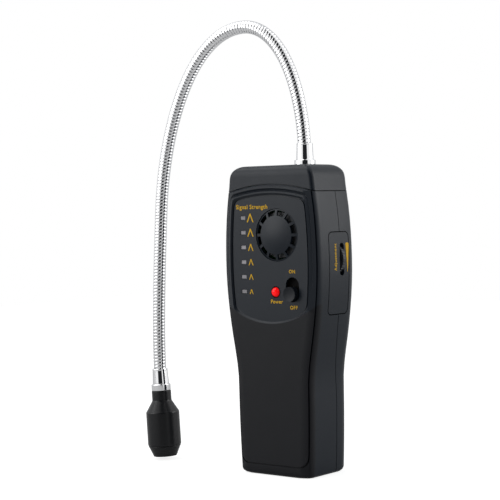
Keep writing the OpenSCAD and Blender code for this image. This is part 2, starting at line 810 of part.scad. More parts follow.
module power_led() {
    r = power_d/2;
    y = panel_y + led_in;
    flange_y = inner_y + clear;
    color("#d4161e") {
        along_y(power_x, power_z, power_d, y, flange_y + 0.6);
        translate([power_x, y, power_z]) intersection() {
            sphere(r = r);
            translate([-r, -2*r, -r]) cube([2*r, 2*r + 0.01, 2*r]);
        }
        along_y(power_x, power_z, power_d + 0.9, flange_y, flange_y + 1);
    }
    color("silver") for (s = [-1, 1])
        translate([power_x + s*1.27 - 0.25, flange_y + 0.5, power_z - 0.25])
            cube([0.5, board_y - flange_y - 0.5, 0.5]);
}

module indicator_led(i) {
    z = lamp_z - (i - 1)*lamp_pitch;
    back = inner_y + 4.5;
    color("#8f9396") {
        translate([-lamp_x - lamp_w/2 + clear, panel_y + clear, z - lamp_h/2 + clear])
            cube([lamp_w - 2*clear, back - panel_y - clear, lamp_h - 2*clear]);
        translate([-lamp_x - lamp_w/2 - 0.6, inner_y + clear, z - lamp_h/2 - 0.6])
            cube([lamp_w + 1.2, back - inner_y - clear, lamp_h + 1.2]);
    }
    color("silver") for (s = [-1, 1])
        translate([-lamp_x + s*1 - 0.25, back - 0.5, z - 0.25]) cube([0.5, board_y - back + 0.5, 0.5]);
}

module buzzer() {
    color("#151617") difference() {
        along_y(grille_x, grille_z, buzzer_d, inner_y + 1, board_y);
        along_y(grille_x, grille_z, buzzer_d - 3, inner_y, inner_y + 1.8);
        along_y(grille_x, grille_z, 3, inner_y, inner_y + 4);
    }
}

module circuit_board() {
    color("#1f5a35") difference() {
        translate([-board_w/2, board_y, board_z0]) cube([board_w, board_t, board_z1 - board_z0]);
        case_screw_places() along_y(0, 0, boss_d + 4*clear, board_y - over, board_y + over);
        for (p = post_at) along_y(p[0], p[1], post_bore + 2*clear, board_y - over, board_y + over);
    }
}

module board_screws() {
    y = board_y + board_t;
    color("silver") for (p = post_at) {
        along_y(p[0], p[1], post_bore - clear, board_y - post_screw_l, y + clear);
        along_y(p[0], p[1], 2*post_bore, y, y + 1.4);
    }
}

module case_screws() {
    slot_w = 0.9;
    color("#9a9da0") case_screw_places() difference() {
        union() {
            along_y(0, 0, screw_d, screw_seat - screw_l, screw_seat + 0.5);
            along_y(0, 0, head_d, screw_seat, screw_seat + 2.2);
        }
        for (a = [0, 90]) translate([0, screw_seat + 2.2, 0]) rotate([0, a, 0])
            cube([slot_w, 2.4, head_d*0.7], center = true);
    }
}

// Battery

module battery_tray() {
    x = tray_x + tray_wall;
    color("#222426") difference() {
        translate([-x, tray_y0, tray_z0]) cube([2*x, tray_y1 - tray_y0, tray_z1 - tray_z0]);
        translate([-tray_x, tray_y0 + tray_wall, tray_z0 + tray_wall])
            cube([2*tray_x, depth, tray_z1 - tray_z0 - 2*tray_wall]);
    }
}

// Cells stand in a square of four, and each points the other way to its neighbours
function cell_place(i) = [(i%2 - 0.5)*cell_pitch, cell_y - floor(i/2)*cell_pitch];
function cell_up(i) = (i%2 + floor(i/2))%2 == 0;

module battery_cell(i) {
    p = cell_place(i - 1);
    pole_d = 5.2;
    pole_h = 1;
    r = cell_d/2;
    up = cell_up(i - 1);
    color("#b4722e") translate([p[0], p[1], cell_z0 + (up ? 0 : cell_l)]) rotate([up ? 0 : 180, 0, 0])
        rotate_extrude() polygon(concat([[0, 0]], arc(r - 0.6, 0.6, 0.6, -90, 0, 3),
            arc(r - 0.6, cell_l - pole_h - 0.6, 0.6, 0, 90, 3),
            [[pole_d/2, cell_l - pole_h], [pole_d/2, cell_l], [0, cell_l]]));
}

// A leaf contact: a flat foot and a blade that leans against the cell's end
module leaf() {
    half = leaf_l/2;
    tip = contact_h - clear/2;
    rotate([90, 0, 0]) linear_extrude(leaf_w, center = true)
        polygon([[-half, 0], [half, 0], [half, contact_t], [-0.68*half, contact_t],
            [0.72*half, contact_h - 2*contact_t], [0.92*half, contact_h - contact_t], [0.92*half, tip],
            [0.64*half, tip], [-half, contact_t]]);
}

module battery_contact(i) {
    floor_z = tray_z0 + tray_wall;
    pairs = [[0, 1], [2, 3], [0, 2], [1], [3]];
    pair = pairs[i - 1];
    top = i > 2;
    a = cell_place(pair[0]);
    b = cell_place(pair[len(pair) - 1]);
    color("#c9ccd0") translate([0, 0, top ? tray_z1 - tray_wall : floor_z]) mirror([0, 0, top ? 1 : 0]) {
        for (k = pair) translate([cell_place(k)[0], cell_place(k)[1], 0]) leaf();
        translate([min(a[0], b[0]) - strap_w/2, min(a[1], b[1]) - strap_w/2, 0])
            cube([abs(a[0] - b[0]) + strap_w, abs(a[1] - b[1]) + strap_w, contact_t]);
    }
}

module battery_door() {
    rib_n = 5;
    rib_pitch = 2.4;
    rib_z = door_z0 + door_h - 8;
    color("#2b2d2f") difference() {
        union() {
            translate([0, rear_y, door_z0 + door_h/2]) rotate([90, 0, 0]) linear_extrude(door_t)
                rounded(door_w, door_h, 2 - door_gap);
            translate([0, rear_y, tongue_z - over/2]) rotate([90, 0, 0]) linear_extrude(tongue_t)
                rounded(tongue_w, tongue_l + over, 2 - door_gap);
        }
        // Finger grooves
        for (i = [0:rib_n - 1]) translate([-8, rear_y - 0.6, rib_z - i*rib_pitch]) cube([16, over, 1.2]);
        along_y(0, tongue_z, screw_d + 2*clear, rear_y - wall - over, rear_y + over);
        translate([0, rear_y + 0.01, tongue_z]) rotate([90, 0, 0])
            cylinder(d1 = head_d + 2*clear, d2 = screw_d + 2*clear, h = tongue_t - 0.2);
    }
}

module door_screw() {
    color("#9a9da0") difference() {
        union() {
            along_y(0, tongue_z, screw_d, screw_seat, rear_y - 0.6);
            translate([0, rear_y, tongue_z]) rotate([90, 0, 0])
                cylinder(d1 = head_d, d2 = screw_d, h = tongue_t - 0.2);
        }
        for (a = [0, 90]) translate([0, rear_y, tongue_z]) rotate([0, a, 0])
            cube([0.8, 1.2, head_d*0.6], center = true);
    }
}

// Neck

// A point of the neck's upright plane: reach from the foot, and height
function neck_place(p) = [neck_x - p[0]*cos(neck_yaw), neck_y - p[0]*sin(neck_yaw), p[1]];

route_n = 120;
function route(u) = let (i = min(floor(u), 2)) cubic(neck_route[i], u - i);
function route_way(u) = let (i = min(floor(u), 2)) cubic_way(neck_route[i], u - i);

// Length along the route, paired with the route's own measure
route_table = [for (i = 0, s = 0; i <= route_n; i = i + 1,
    s = s + (i <= route_n ? norm(route(3*i/route_n) - route(3*(i - 1)/route_n)) : 0)) [s, 3*i/route_n]];
route_l = route_table[route_n][0];

// A ring of the neck at length s along it
function neck_ring(s, r) = let (u = lookup(s, route_table), p = route(u), way = route_way(u))
    [for (j = [0:neck_sides - 1]) let (a = 360*j/neck_sides, q = p + r*cos(a)*[way[1], -way[0]],
        out = r*sin(a)) neck_place(q) + out*[sin(neck_yaw), -cos(neck_yaw), 0]];

module gooseneck() {
    turns = round(route_l/neck_pitch);
    pitch = route_l/turns;
    lining = 30;
    color("#d7d9dc") skin_loop(concat(
        [neck_ring(0, neck_r - neck_groove)],
        [for (i = [0:turns - 1]) each [neck_ring((i + 0.5)*pitch, neck_r),
            neck_ring((i + 1)*pitch, neck_r - neck_groove)]],
        [for (i = [lining:-1:0]) neck_ring(route_l*i/lining, neck_bore/2)]));
}

module lower_ferrule() {
    r = neck_r + neck_fit;
    shank_end = -wall - washer_t - nut_h - 1;
    color("#e2e4e6") translate([neck_x, neck_y, flange_z]) rotate_extrude() polygon([
        [wire_bore/2, shank_end], [shank_d/2, shank_end], [shank_d/2, 0], [flange_d/2, 0],
        [flange_d/2, flange_h - 0.5], [flange_d/2 - 0.5, flange_h],
        [r + 1, flange_h], [r + 0.5, flange_h + sleeve_l - 0.4], [r + 0.2, flange_h + sleeve_l],
        [r, flange_h + sleeve_l], [r, foot_z - flange_z], [wire_bore/2, foot_z - flange_z]]);
}

module neck_washer() {
    color("#c9ccd0") translate([neck_x, neck_y, body_h - wall - washer_t]) difference() {
        cylinder(d = nut_af + 1.6, h = washer_t);
        translate([0, 0, -1]) cylinder(d = shank_d + 2*clear, h = washer_t + 2);
    }
}

module neck_nut() {
    color("#c9ccd0") translate([neck_x, neck_y, body_h - wall - washer_t - nut_h]) difference() {
        cylinder(d = nut_af/cos(30), h = nut_h, $fn = 6);
        translate([0, 0, -1]) cylinder(d = shank_d + clear, h = nut_h + 2);
    }
}

// Sensor head

// The head's own frame: origin at the top of its ferrule, and the head hangs down along -Z
module at_head() {
    top = route(3) + (sleeve_l - 1)*[sin(head_lean), cos(head_lean)];
    translate(neck_place(top)) rotate([0, 0, neck_yaw]) rotate([0, -head_lean, 0]) children();
}

module turned(points) {
    rotate_extrude() polygon([for (p = points) [p[0], -p[1]]]);
}

module upper_ferrule() {
    r = neck_r + neck_fit;
    color("#e2e4e6") at_head() turned([[r, 0], [r + 0.2, 0], [r + 0.5, 0.4], [r + 1, sleeve_down],
        [top_flange_d/2 - 0.5, sleeve_down], [top_flange_d/2, sleeve_down + 0.5],
        [top_flange_d/2, collar_down - 0.3], [top_flange_d/2 - 0.3, collar_down],
        [spigot_d/2, collar_down], [spigot_d/2, cone_down - 1], [wire_bore/2, cone_down - 1],
        [wire_bore/2, sleeve_down - 1], [r, sleeve_down - 1]]);
}

module sensor_housing() {
    spigot = spigot_d + 2*clear;
    r = barrel_d/2;
    top = collar_down + clear/2;
    color("#26282a") at_head() turned([[spigot/2, top], [collar_d/2, top], [collar_d/2, cone_down],
        [r - 0.5, barrel_down - 0.4], [r, barrel_down + 0.3], [r, tip_down], [r - head_wall, tip_down],
        [r - head_wall, barrel_down + 1.5], [spigot/2, cone_down + head_wall]]);
}

module sensor_tip() {
    r = barrel_d/2;
    seat = r - head_wall - clear;
    step = (r - tip_d/2)/4;
    run = (tip_l - 0.6)/3;
    color("#1f2123") at_head() turned(concat([[seat - 1.2, tip_down - 4], [seat, tip_down - 4],
        [seat, tip_down + clear/2], [r - 0.3, tip_down + clear/2], [r - 0.3, tip_down + 0.6]],
        [for (i = [0:2]) each [[r - (i + 0.8)*step, tip_down + 0.6 + i*run],
            [r - (i + 1.2)*step, tip_down + 0.6 + (i + 1)*run]]],
        [[tip_hole/2, tip_down + tip_l], [tip_hole/2, tip_down + tip_l - 1.2],
         [seat - 1.2, tip_down + tip_l - 3]]));
}

module sensor_seal() {
    r = barrel_d/2 - head_wall - clear - 1.2;
    color("#4a4d50") at_head() turned([[element_d/2 + clear/2, tip_down - 3], [r - clear/2, tip_down - 3],
        [r - clear/2, tip_down - 0.6], [element_d/2 + clear/2, tip_down - 0.6]]);
}

module sensor_element() {
    r = element_d/2;
    low = tip_down + tip_l - 3.2;
    color("#b9bcbf") at_head() turned([[0, low - element_l], [r, low - element_l], [r, tip_down],
        [r - 1.6, tip_down + 0.4], [r - 1.6, low - 0.3], [r - 1.9, low], [0, low]]);
}

front_shell();
rear_shell();
top_cap();
side_insert();
thumbwheel();
potentiometer();
switch_knob();
slide_switch();
power_led();
for (i = [1:6]) indicator_led(i);
buzzer();
circuit_board();
board_screws();
battery_tray();
for (i = [1:4]) battery_cell(i);
for (i = [1:5]) battery_contact(i);
battery_door();
door_screw();
case_screws();
lower_ferrule();
neck_washer();
neck_nut();
gooseneck();
upper_ferrule();
sensor_housing();
sensor_seal();
sensor_element();
sensor_tip();
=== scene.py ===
"""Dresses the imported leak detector: fine surfaces over its solids, finishes, printed legends and a studio.

Sizes are in millimetres and become metres when a mesh is made. X is to the right, Y to the back and Z up,
from the middle of the housing's base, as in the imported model.
"""

from __future__ import annotations

import logging
import math
from collections.abc import Callable
from dataclasses import dataclass, field
from enum import Enum
from typing import Any, Union

import bmesh
import bpy
import numpy as np
from mathutils import Matrix, Vector
from numpy.typing import NDArray

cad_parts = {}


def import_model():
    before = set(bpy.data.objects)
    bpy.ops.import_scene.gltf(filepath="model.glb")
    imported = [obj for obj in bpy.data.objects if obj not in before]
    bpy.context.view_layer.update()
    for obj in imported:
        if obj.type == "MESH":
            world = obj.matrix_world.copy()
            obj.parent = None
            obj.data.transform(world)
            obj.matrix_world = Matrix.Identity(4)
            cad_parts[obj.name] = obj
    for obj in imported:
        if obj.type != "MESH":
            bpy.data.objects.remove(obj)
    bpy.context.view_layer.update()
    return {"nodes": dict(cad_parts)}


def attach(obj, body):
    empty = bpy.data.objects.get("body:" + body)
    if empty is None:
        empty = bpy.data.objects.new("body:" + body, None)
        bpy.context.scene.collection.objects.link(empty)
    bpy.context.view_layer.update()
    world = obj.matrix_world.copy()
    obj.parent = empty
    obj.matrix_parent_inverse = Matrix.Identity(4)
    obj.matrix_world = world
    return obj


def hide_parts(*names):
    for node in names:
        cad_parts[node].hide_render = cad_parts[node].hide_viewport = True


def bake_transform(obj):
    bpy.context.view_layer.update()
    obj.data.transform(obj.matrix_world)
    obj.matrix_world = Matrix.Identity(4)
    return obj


MM = 0.001
PANEL_Y = -16.85
HOUSING_TOP = 163.0
POWER_LAMP_AT = (3.5, 96.7)
LOG = logging.getLogger("leak_detector")

Points = NDArray[np.float64]
Faces = list[list[int]]
Placing = Callable[[Points], Points]
Colour = tuple[float, float, float]
Pair = tuple[float, float]

TO_FRONT: Points = np.array([0.0, -1.0, 0.0])
TO_TOP: Points = np.array([0.0, 0.0, 1.0])


# Shader nodes


class Wire:
    """One output of a shader node; arithmetic on it adds Math nodes."""

    def __init__(self, graph: Graph, socket: bpy.types.NodeSocket) -> None:
        """Keeps the graph that the socket belongs to."""
        self.graph = graph
        self.socket = socket

    def math(self, operation: str, *values: Operand) -> Wire:
        """Adds a Math node.

        Args:
            operation: The Math node's operation.
            values: Its inputs, in order.

        Returns:
            The node's value.
        """
        return self.graph.wire("ShaderNodeMath", {"operation": operation}, dict(enumerate(values)))

    def __add__(self, other: Operand) -> Wire:
        """Adds."""
        return self.math("ADD", self, other)

    def __sub__(self, other: Operand) -> Wire:
        """Takes away."""
        return self.math("SUBTRACT", self, other)

    def __mul__(self, other: Operand) -> Wire:
        """Multiplies."""
        return self.math("MULTIPLY", self, other)

    def __truediv__(self, other: Operand) -> Wire:
        """Divides."""
        return self.math("DIVIDE", self, other)

    def __pow__(self, other: Operand) -> Wire:
        """Raises to a power."""
        return self.math("POWER", self, other)

    def __radd__(self, other: float) -> Wire:
        """Adds to a number."""
        return self.math("ADD", other, self)

    def __rsub__(self, other: float) -> Wire:
        """Takes away from a number."""
        return self.math("SUBTRACT", other, self)

    def __rmul__(self, other: float) -> Wire:
        """Multiplies a number."""
        return self.math("MULTIPLY", other, self)

    def sine(self) -> Wire:
        """The sine of an angle in radians."""
        return self.math("SINE", self)

    def maximum(self, other: Operand) -> Wire:
        """The larger of two values."""
        return self.math("MAXIMUM", self, other)

    def step(self, low: float, high: float) -> Wire:
        """A smooth step from 0 at low to 1 at high."""
        settings = {"interpolation_type": "SMOOTHSTEP"}
        return self.graph.wire("ShaderNodeMapRange", settings, {0: self, 1: low, 2: high, 3: 0.0, 4: 1.0})


Operand = Union[Wire, float]
Input = Union[Wire, float, Colour]


class Graph:
    """The nodes of one material or world, all made by its node method."""

    def __init__(self, tree: bpy.types.NodeTree) -> None:
        """Starts from an empty tree."""
        self.tree = tree
        tree.nodes.clear()

    def node(
        self,
        kind: str,
        settings: dict[str, Any] | None = None,
        sockets: dict[str | int, Input] | None = None,
    ) -> bpy.types.Node:
        """Adds a node.

        Args:
            kind: The node's type.
            settings: Its own settings, such as a Math node's operation, which are set first.
            sockets: Values or wires for its inputs, by name or number.

        Returns:
            The new node.
        """
        node = self.tree.nodes.new(kind)
        for name, value in (settings or {}).items():
            setattr(node, name, value)
        for key, value in (sockets or {}).items():
            target = node.inputs[key]
            if isinstance(value, Wire):
                self.tree.links.new(value.socket, target)
            else:
                target.default_value = (*value, 1.0) if target.type == "RGBA" else value
        return node

    def wire(
        self,
        kind: str,
        settings: dict[str, Any] | None = None,
        sockets: dict[str | int, Input] | None = None,
        output: str | int = 0,
    ) -> Wire:
        """Adds a node and gives one of its outputs.

        Args:
            kind: The node's type.
            settings: Its own settings.
            sockets: Values or wires for its inputs.
            output: Name or number of the output.

        Returns:
            The output.
        """
        return Wire(self, self.node(kind, settings, sockets).outputs[output])

    def place(self) -> Wire:
        """The piece's own coordinates, in metres."""
        return self.wire("ShaderNodeTexCoord", output="Object")

    def axes(self) -> tuple[Wire, Wire, Wire]:
        """The piece's own X, Y and Z, in metres."""
        split = self.node("ShaderNodeSeparateXYZ", sockets={0: self.place()})
        return tuple(Wire(self, socket) for socket in split.outputs)

    def noise(self, size: float, detail: float = 3.0, stretch: Colour = (1.0, 1.0, 1.0)) -> Wire:
        """A cloudy noise between 0 and 1.

        Args:
            size: Size of its lumps in millimetres.
            detail: Octaves of finer lumps.
            stretch: How many times longer the lumps are along X, Y and Z.

        Returns:
            The noise.
        """
        scale = tuple(1.0 / s for s in stretch)
        place = self.wire("ShaderNodeMapping", sockets={"Vector": self.place(), "Scale": scale})
        sockets = {"Vector": place, "Scale": 1.0 / (size * MM), "Detail": detail}
        return self.wire("ShaderNodeTexNoise", sockets=sockets)

    def cells(self, size: float) -> Wire:
        """Distance to the nearest of scattered points, for grain of a size in millimetres."""
        sockets = {"Vector": self.place(), "Scale": 1.0 / (size * MM)}
        return self.wire("ShaderNodeTexVoronoi", sockets=sockets)

    def mix(self, factor: Operand, first: Wire | Colour, second: Wire | Colour) -> Wire:
        """Goes from the first colour to the second as the factor goes from 0 to 1."""
        return self.wire("ShaderNodeMix", {"data_type": "RGBA"}, {0: factor, 6: first, 7: second}, 2)

    def ray(self, kind: str) -> Wire:
        """Whether the ray that meets the surface is of a kind, such as Camera."""
        return self.wire("ShaderNodeLightPath", output=f"Is {kind} Ray")

    def bump(self, height: Wire, depth: float) -> Wire:
        """A normal for a height between 0 and 1.

        Args:
            height: The height.
            depth: Height of 1, in millimetres.

        Returns:
            The normal.
        """
        return self.wire("ShaderNodeBump", sockets={"Height": height, "Distance": depth * MM})


# Finishes


@dataclass(frozen=True)
class Finish:
    """A surface finish: a colour, a gloss and the detail that its kind has."""

    name: str
    colour: Colour
    roughness: float

    def material(self) -> bpy.types.Material:
        """Makes the material once, or finds it again.

        Returns:
            The material.
        """
        found = bpy.data.materials.get(self.name)
        if found:
            return found
        material = bpy.data.materials.new(self.name)
        material.use_nodes = True
        graph = Graph(material.node_tree)
        sockets = {"Base Color": self.colour, "Roughness": self.roughness}
        shader = graph.node("ShaderNodeBsdfPrincipled", sockets=sockets)
        graph.node("ShaderNodeOutputMaterial", sockets={"Surface": Wire(graph, shader.outputs[0])})
        self.paint(graph, shader)
        return material

    def paint(self, graph: Graph, shader: bpy.types.Node) -> None:
        """Adds the detail of this kind of finish to its shader."""
        raise NotImplementedError

    @staticmethod
    def feed(graph: Graph, shader: bpy.types.Node, **wires: Wire) -> None:
        """Links wires to the shader's sockets; Base_Color stands for Base Color."""
        for name, wire in wires.items():
            graph.tree.links.new(wire.socket, shader.inputs[name.replace("_", " ")])


@dataclass(frozen=True)
class MouldedPlastic(Finish):
    """Moulded plastic: an eroded grain, slow changes of gloss, and paler scuffs from handling."""

    grain: float = 0.3
    grain_depth: float = 0.012
    scuff: Colour = (0.03, 0.031, 0.033)
    specular: float = 0.5

    def paint(self, graph: Graph, shader: bpy.types.Node) -> None:
        """Grain goes into the normal, clouds into the gloss, and thin scuffs into both colour and gloss.

        Args:
            graph: The material's graph.
            shader: Its surface shader.
        """
        grain = graph.cells(self.grain)
        cloud = graph.noise(14.0)
        scuffs = graph.noise(1.1, 4.0, (1.0, 1.0, 6.0)).step(0.66, 0.8) * graph.noise(18.0).step(0.5, 0.7)
        # Some kinds of plastic paint shade into the ground colour.
        ground, dulled = self.ground(graph)
        rough = self.roughness + (cloud - 0.5) * 0.1 + scuffs * 0.08 + dulled
        colour = graph.mix(scuffs * 0.35, ground, self.scuff)
        normal = graph.bump(grain, self.grain_depth)
        shader.inputs["Specular IOR Level"].default_value = self.specular
        self.feed(graph, shader, Base_Color=colour, Roughness=rough, Normal=normal)

    def ground(self, graph: Graph) -> tuple[Wire | Colour, Operand]:
        """The plastic's own colour, and what it adds to the roughness."""
        return self.colour, 0.0


@dataclass(frozen=True)
class FrontShadedPlastic(MouldedPlastic):
    """Moulded plastic with painted shade: darker and rougher on the grip's front, below the panel's arc."""

    # The colour of the painted shade on the grip's front.
    deep: Colour = (0.0, 0.0006, 0.0028)
    arc_z: float = 128.6
    arc_r: float = 48.3
    front: Pair = (11.0, 14.0)
    dulled: float = 0.14

    def ground(self, graph: Graph) -> tuple[Wire, Wire]:
        """Paints shade: the deep colour outside the arc, sqrt(x*x + (z - arc_z)^2) > arc_r, on the front
        alone.

        Args:
            graph: The material's graph.

        Returns:
            The colour with its painted shade, and what is added to the roughness.
        """
        x, y, z = (axis / MM for axis in graph.axes())
        away = (x * x + (z - self.arc_z) ** 2.0) ** 0.5
        # Painted shade: the grip's front below the arc goes to the deep colour.
        painted_shade_mask = (away - self.arc_r).step(-0.3, 0.7) * (0.0 - y).step(*self.front)
        return graph.mix(painted_shade_mask, self.colour, self.deep), painted_shade_mask * self.dulled


@dataclass(frozen=True)
class RecessShadedPlastic(MouldedPlastic):
    """Moulded plastic of a piece that reaches into a recess, where it is painted darker as shade, and
    rougher.
    """

    # The colour of the painted shade inside the recess.
    deep: Colour = (0.0006, 0.0006, 0.0007)
    mouth: float = PANEL_Y
    dulled: float = 0.45

    def ground(self, graph: Graph) -> tuple[Wire, Wire]:
        """Paints shade: goes to the deep colour over the first millimetre behind the recess's mouth.

        Args:
            graph: The material's graph.

        Returns:
            The colour with its painted shade, and what is added to the roughness.
        """
        _, y, _ = graph.axes()
        # Painted shade: darker from the recess's mouth inwards.
        within = (y / MM - self.mouth).step(-0.2, 0.8)
        return graph.mix(within, self.colour, self.deep), within * self.dulled


@dataclass(frozen=True)
class PolishedMetal(Finish):
    """Bright metal: faint polishing lines, smudges in its gloss, and painted shade where the surface is
    sunk.
    """

    groove_shade: Colour = (0.05, 0.05, 0.055)
    sunk: str = ""

    def paint(self, graph: Graph, shader: bpy.types.Node) -> None:
        """Smudges go into the gloss; an attribute that says how sunk a point is paints shade there.

        Args:
            graph: The material's graph.
            shader: Its surface shader.
        """
        shader.inputs["Metallic"].default_value = 1.0
        smudge = graph.noise(4.0)
        lines = graph.noise(0.25, 2.0, (14.0, 14.0, 1.0))
        rough = self.roughness * (0.5 + smudge)
        tint = graph.mix(smudge * 0.12, self.colour, tuple(0.82 * c for c in self.colour))
        if self.sunk:
            depth = graph.wire("ShaderNodeAttribute", {"attribute_name": self.sunk}, output="Fac")
            # Painted shade in the sunk grooves between the windings.
            tint = graph.mix(depth.step(0.25, 1.0) * 0.75, tint, self.groove_shade)
            rough = rough + depth.step(0.3, 1.0) * 0.2
        self.feed(graph, shader, Base_Color=tint, Roughness=rough, Normal=graph.bump(lines, 0.0012))


@dataclass(frozen=True)
class TintedLens(Finish):
    """A coloured lamp lens: a paler heart, a deeper rim and a clear polished skin."""

    heart: Colour = (1.0, 0.3, 0.25)
    centre: Pair = (0.0, 0.0)
    reach: float = 2.5
    glow: float = 0.0
    specular: float = 0.18
    skin: float = 0.12
    skin_roughness: float = 0.06

    def paint(self, graph: Graph, shader: bpy.types.Node) -> None:
        """The colour goes from the heart to the rim with distance from the lens's axis, which runs along Y.

        Args:
            graph: The material's graph.
            shader: Its surface shader.
        """
        x, _, z = graph.axes()
        across = (x - self.centre[0] * MM) / (self.reach * MM)
        along = (z - self.centre[1] * MM) / (self.reach * MM)
        away = (across * across + along * along) ** 0.5
        colour = graph.mix(away.step(0.0, 1.0), self.heart, self.colour)
        rough = self.roughness + graph.noise(0.8) * 0.06
        shader.inputs["Coat Weight"].default_value = self.skin
        shader.inputs["Coat Roughness"].default_value = self.skin_roughness
        shader.inputs["Specular IOR Level"].default_value = self.specular
        shader.inputs["Emission Strength"].default_value = self.glow
        self.feed(graph, shader, Base_Color=colour, Roughness=rough, Emission_Color=colour)


@dataclass(frozen=True)
class PrintedInk(Finish):
    """Screen-printed ink: a little uneven in its cover, with the plastic's grain under it."""

    grain: float = 0.3
    grain_depth: float = 0.008
    specular: float = 0.12

    def paint(self, graph: Graph, shader: bpy.types.Node) -> None:
        """Thin places let the dark ground through.

        Args:
            graph: The material's graph.
            shader: Its surface shader.
        """
        thin = graph.noise(0.7, 4.0).step(0.55, 0.8)
        colour = graph.mix(thin * 0.3, self.colour, tuple(0.45 * c for c in self.colour))
        rough = self.roughness + thin * 0.15
        normal = graph.bump(graph.cells(self.grain), self.grain_depth)
        shader.inputs["Specular IOR Level"].default_value = self.specular
        self.feed(graph, shader, Base_Color=colour, Roughness=rough, Normal=normal)


@dataclass(frozen=True)
class BoardLacquer(Finish):
    """A circuit board: copper tracks under green lacquer, and small bright pads."""

    track: Colour = (0.05, 0.2, 0.06)
    pad: Colour = (0.6, 0.55, 0.4)
    pitch: float = 2.54

    def paint(self, graph: Graph, shader: bpy.types.Node) -> None:
        """Tracks are the crests of a wave across X; pads are where it crosses a wave along Z.

        Args:
            graph: The material's graph.
            shader: Its surface shader.
        """
        x, _, z = graph.axes()
        turn = math.tau / (self.pitch * MM)
        lanes, rows = (x * turn).sine(), (z * turn).sine()
        pads = (lanes * rows).step(0.86, 0.92) * graph.noise(9.0).step(0.5, 0.52)
        tracks = lanes.step(0.3, 0.5) * graph.noise(12.0, 0.0, (1.0, 1.0, 5.0)).step(0.48, 0.5)
        colour = graph.mix(pads, graph.mix(tracks, self.colour, self.track), self.pad)
        rough = self.roughness - pads * 0.1
        normal = graph.bump(tracks.maximum(pads), 0.03)
        self.feed(graph, shader, Base_Color=colour, Roughness=rough, Metallic=pads, Normal=normal)


@dataclass(frozen=True)
class CellJacket(Finish):
    """A dry cell's printed film: a dark band at the minus end, bare metal at both end faces."""

    band: Colour = (0.02, 0.02, 0.022)
    bare: Colour = (0.62, 0.62, 0.6)
    band_end: float = 0.66
    ends: Pair = (0.012, 0.97)
    low: float = 0.0
    high: float = 50.0
    pole_up: bool = True

    def paint(self, graph: Graph, shader: bpy.types.Node) -> None:
        """Bands are steps of the height along the cell.

        Args:
            graph: The material's graph.
            shader: Its surface shader.
        """
        _, _, z = graph.axes()
        run = (z - self.low * MM) / ((self.high - self.low) * MM)
        along = run if self.pole_up else 1.0 - run
        lower, upper = self.ends[0] - along, along - self.ends[1]
        bare = lower.step(-0.002, 0.002).maximum(upper.step(-0.002, 0.002))
        film = along.step(self.band_end, self.band_end + 0.005)
        colour = graph.mix(bare, graph.mix(film, self.band, self.colour), self.bare)
        rough = self.roughness + graph.noise(6.0) * 0.1
        self.feed(graph, shader, Base_Color=colour, Metallic=bare.maximum(film * 0.8), Roughness=rough)


@dataclass(frozen=True)
class WovenScreen(Finish):
    """The gas sensor's metal cap under a fine woven wire screen."""

    pitch: float = 0.5
    hole: Colour = (0.02, 0.02, 0.02)

    def paint(self, graph: Graph, shader: bpy.types.Node) -> None:
        """Two crossed waves make the wires; their troughs are dark.

        Args:
            graph: The material's graph.
            shader: Its surface shader.
        """
        x, y, _ = graph.axes()
        turn = math.tau / (self.pitch * MM)
        wires = (x * turn).sine().maximum((y * turn).sine()).step(-0.2, 0.9)
        colour = graph.mix(wires, self.hole, self.colour)
        rough = self.roughness + graph.noise(2.0) * 0.1
        shader.inputs["Metallic"].default_value = 1.0
        self.feed(graph, shader, Base_Color=colour, Roughness=rough, Normal=graph.bump(wires, 0.12))


@dataclass(frozen=True)
class StudioFloor(Finish):
    """A pale floor that reads as white to the eye and keeps soft shadows."""

    glow: float = 0.3
    mirrored: float = 0.3

    def paint(self, graph: Graph, shader: bpy.types.Node) -> None:
        """What the camera or a mirror sees is lifted towards white; the shadow stays.

        Args:
            graph: The material's graph.
            shader: Its surface shader.
        """
        seen = graph.ray("Camera").maximum(graph.ray("Glossy") * self.mirrored)
        seen = seen.maximum(graph.ray("Transmission"))
        lifted = graph.mix(seen, (0.0, 0.0, 0.0), (self.glow, self.glow, self.glow))
        shader.inputs["Emission Strength"].default_value = 1.0
        shader.inputs["Specular IOR Level"].default_value = 0.0
        tone = graph.mix(graph.noise(60.0) * 0.3, self.colour, tuple(0.97 * c for c in self.colour))
        self.feed(graph, shader, Base_Color=tone, Emission_Color=lifted)


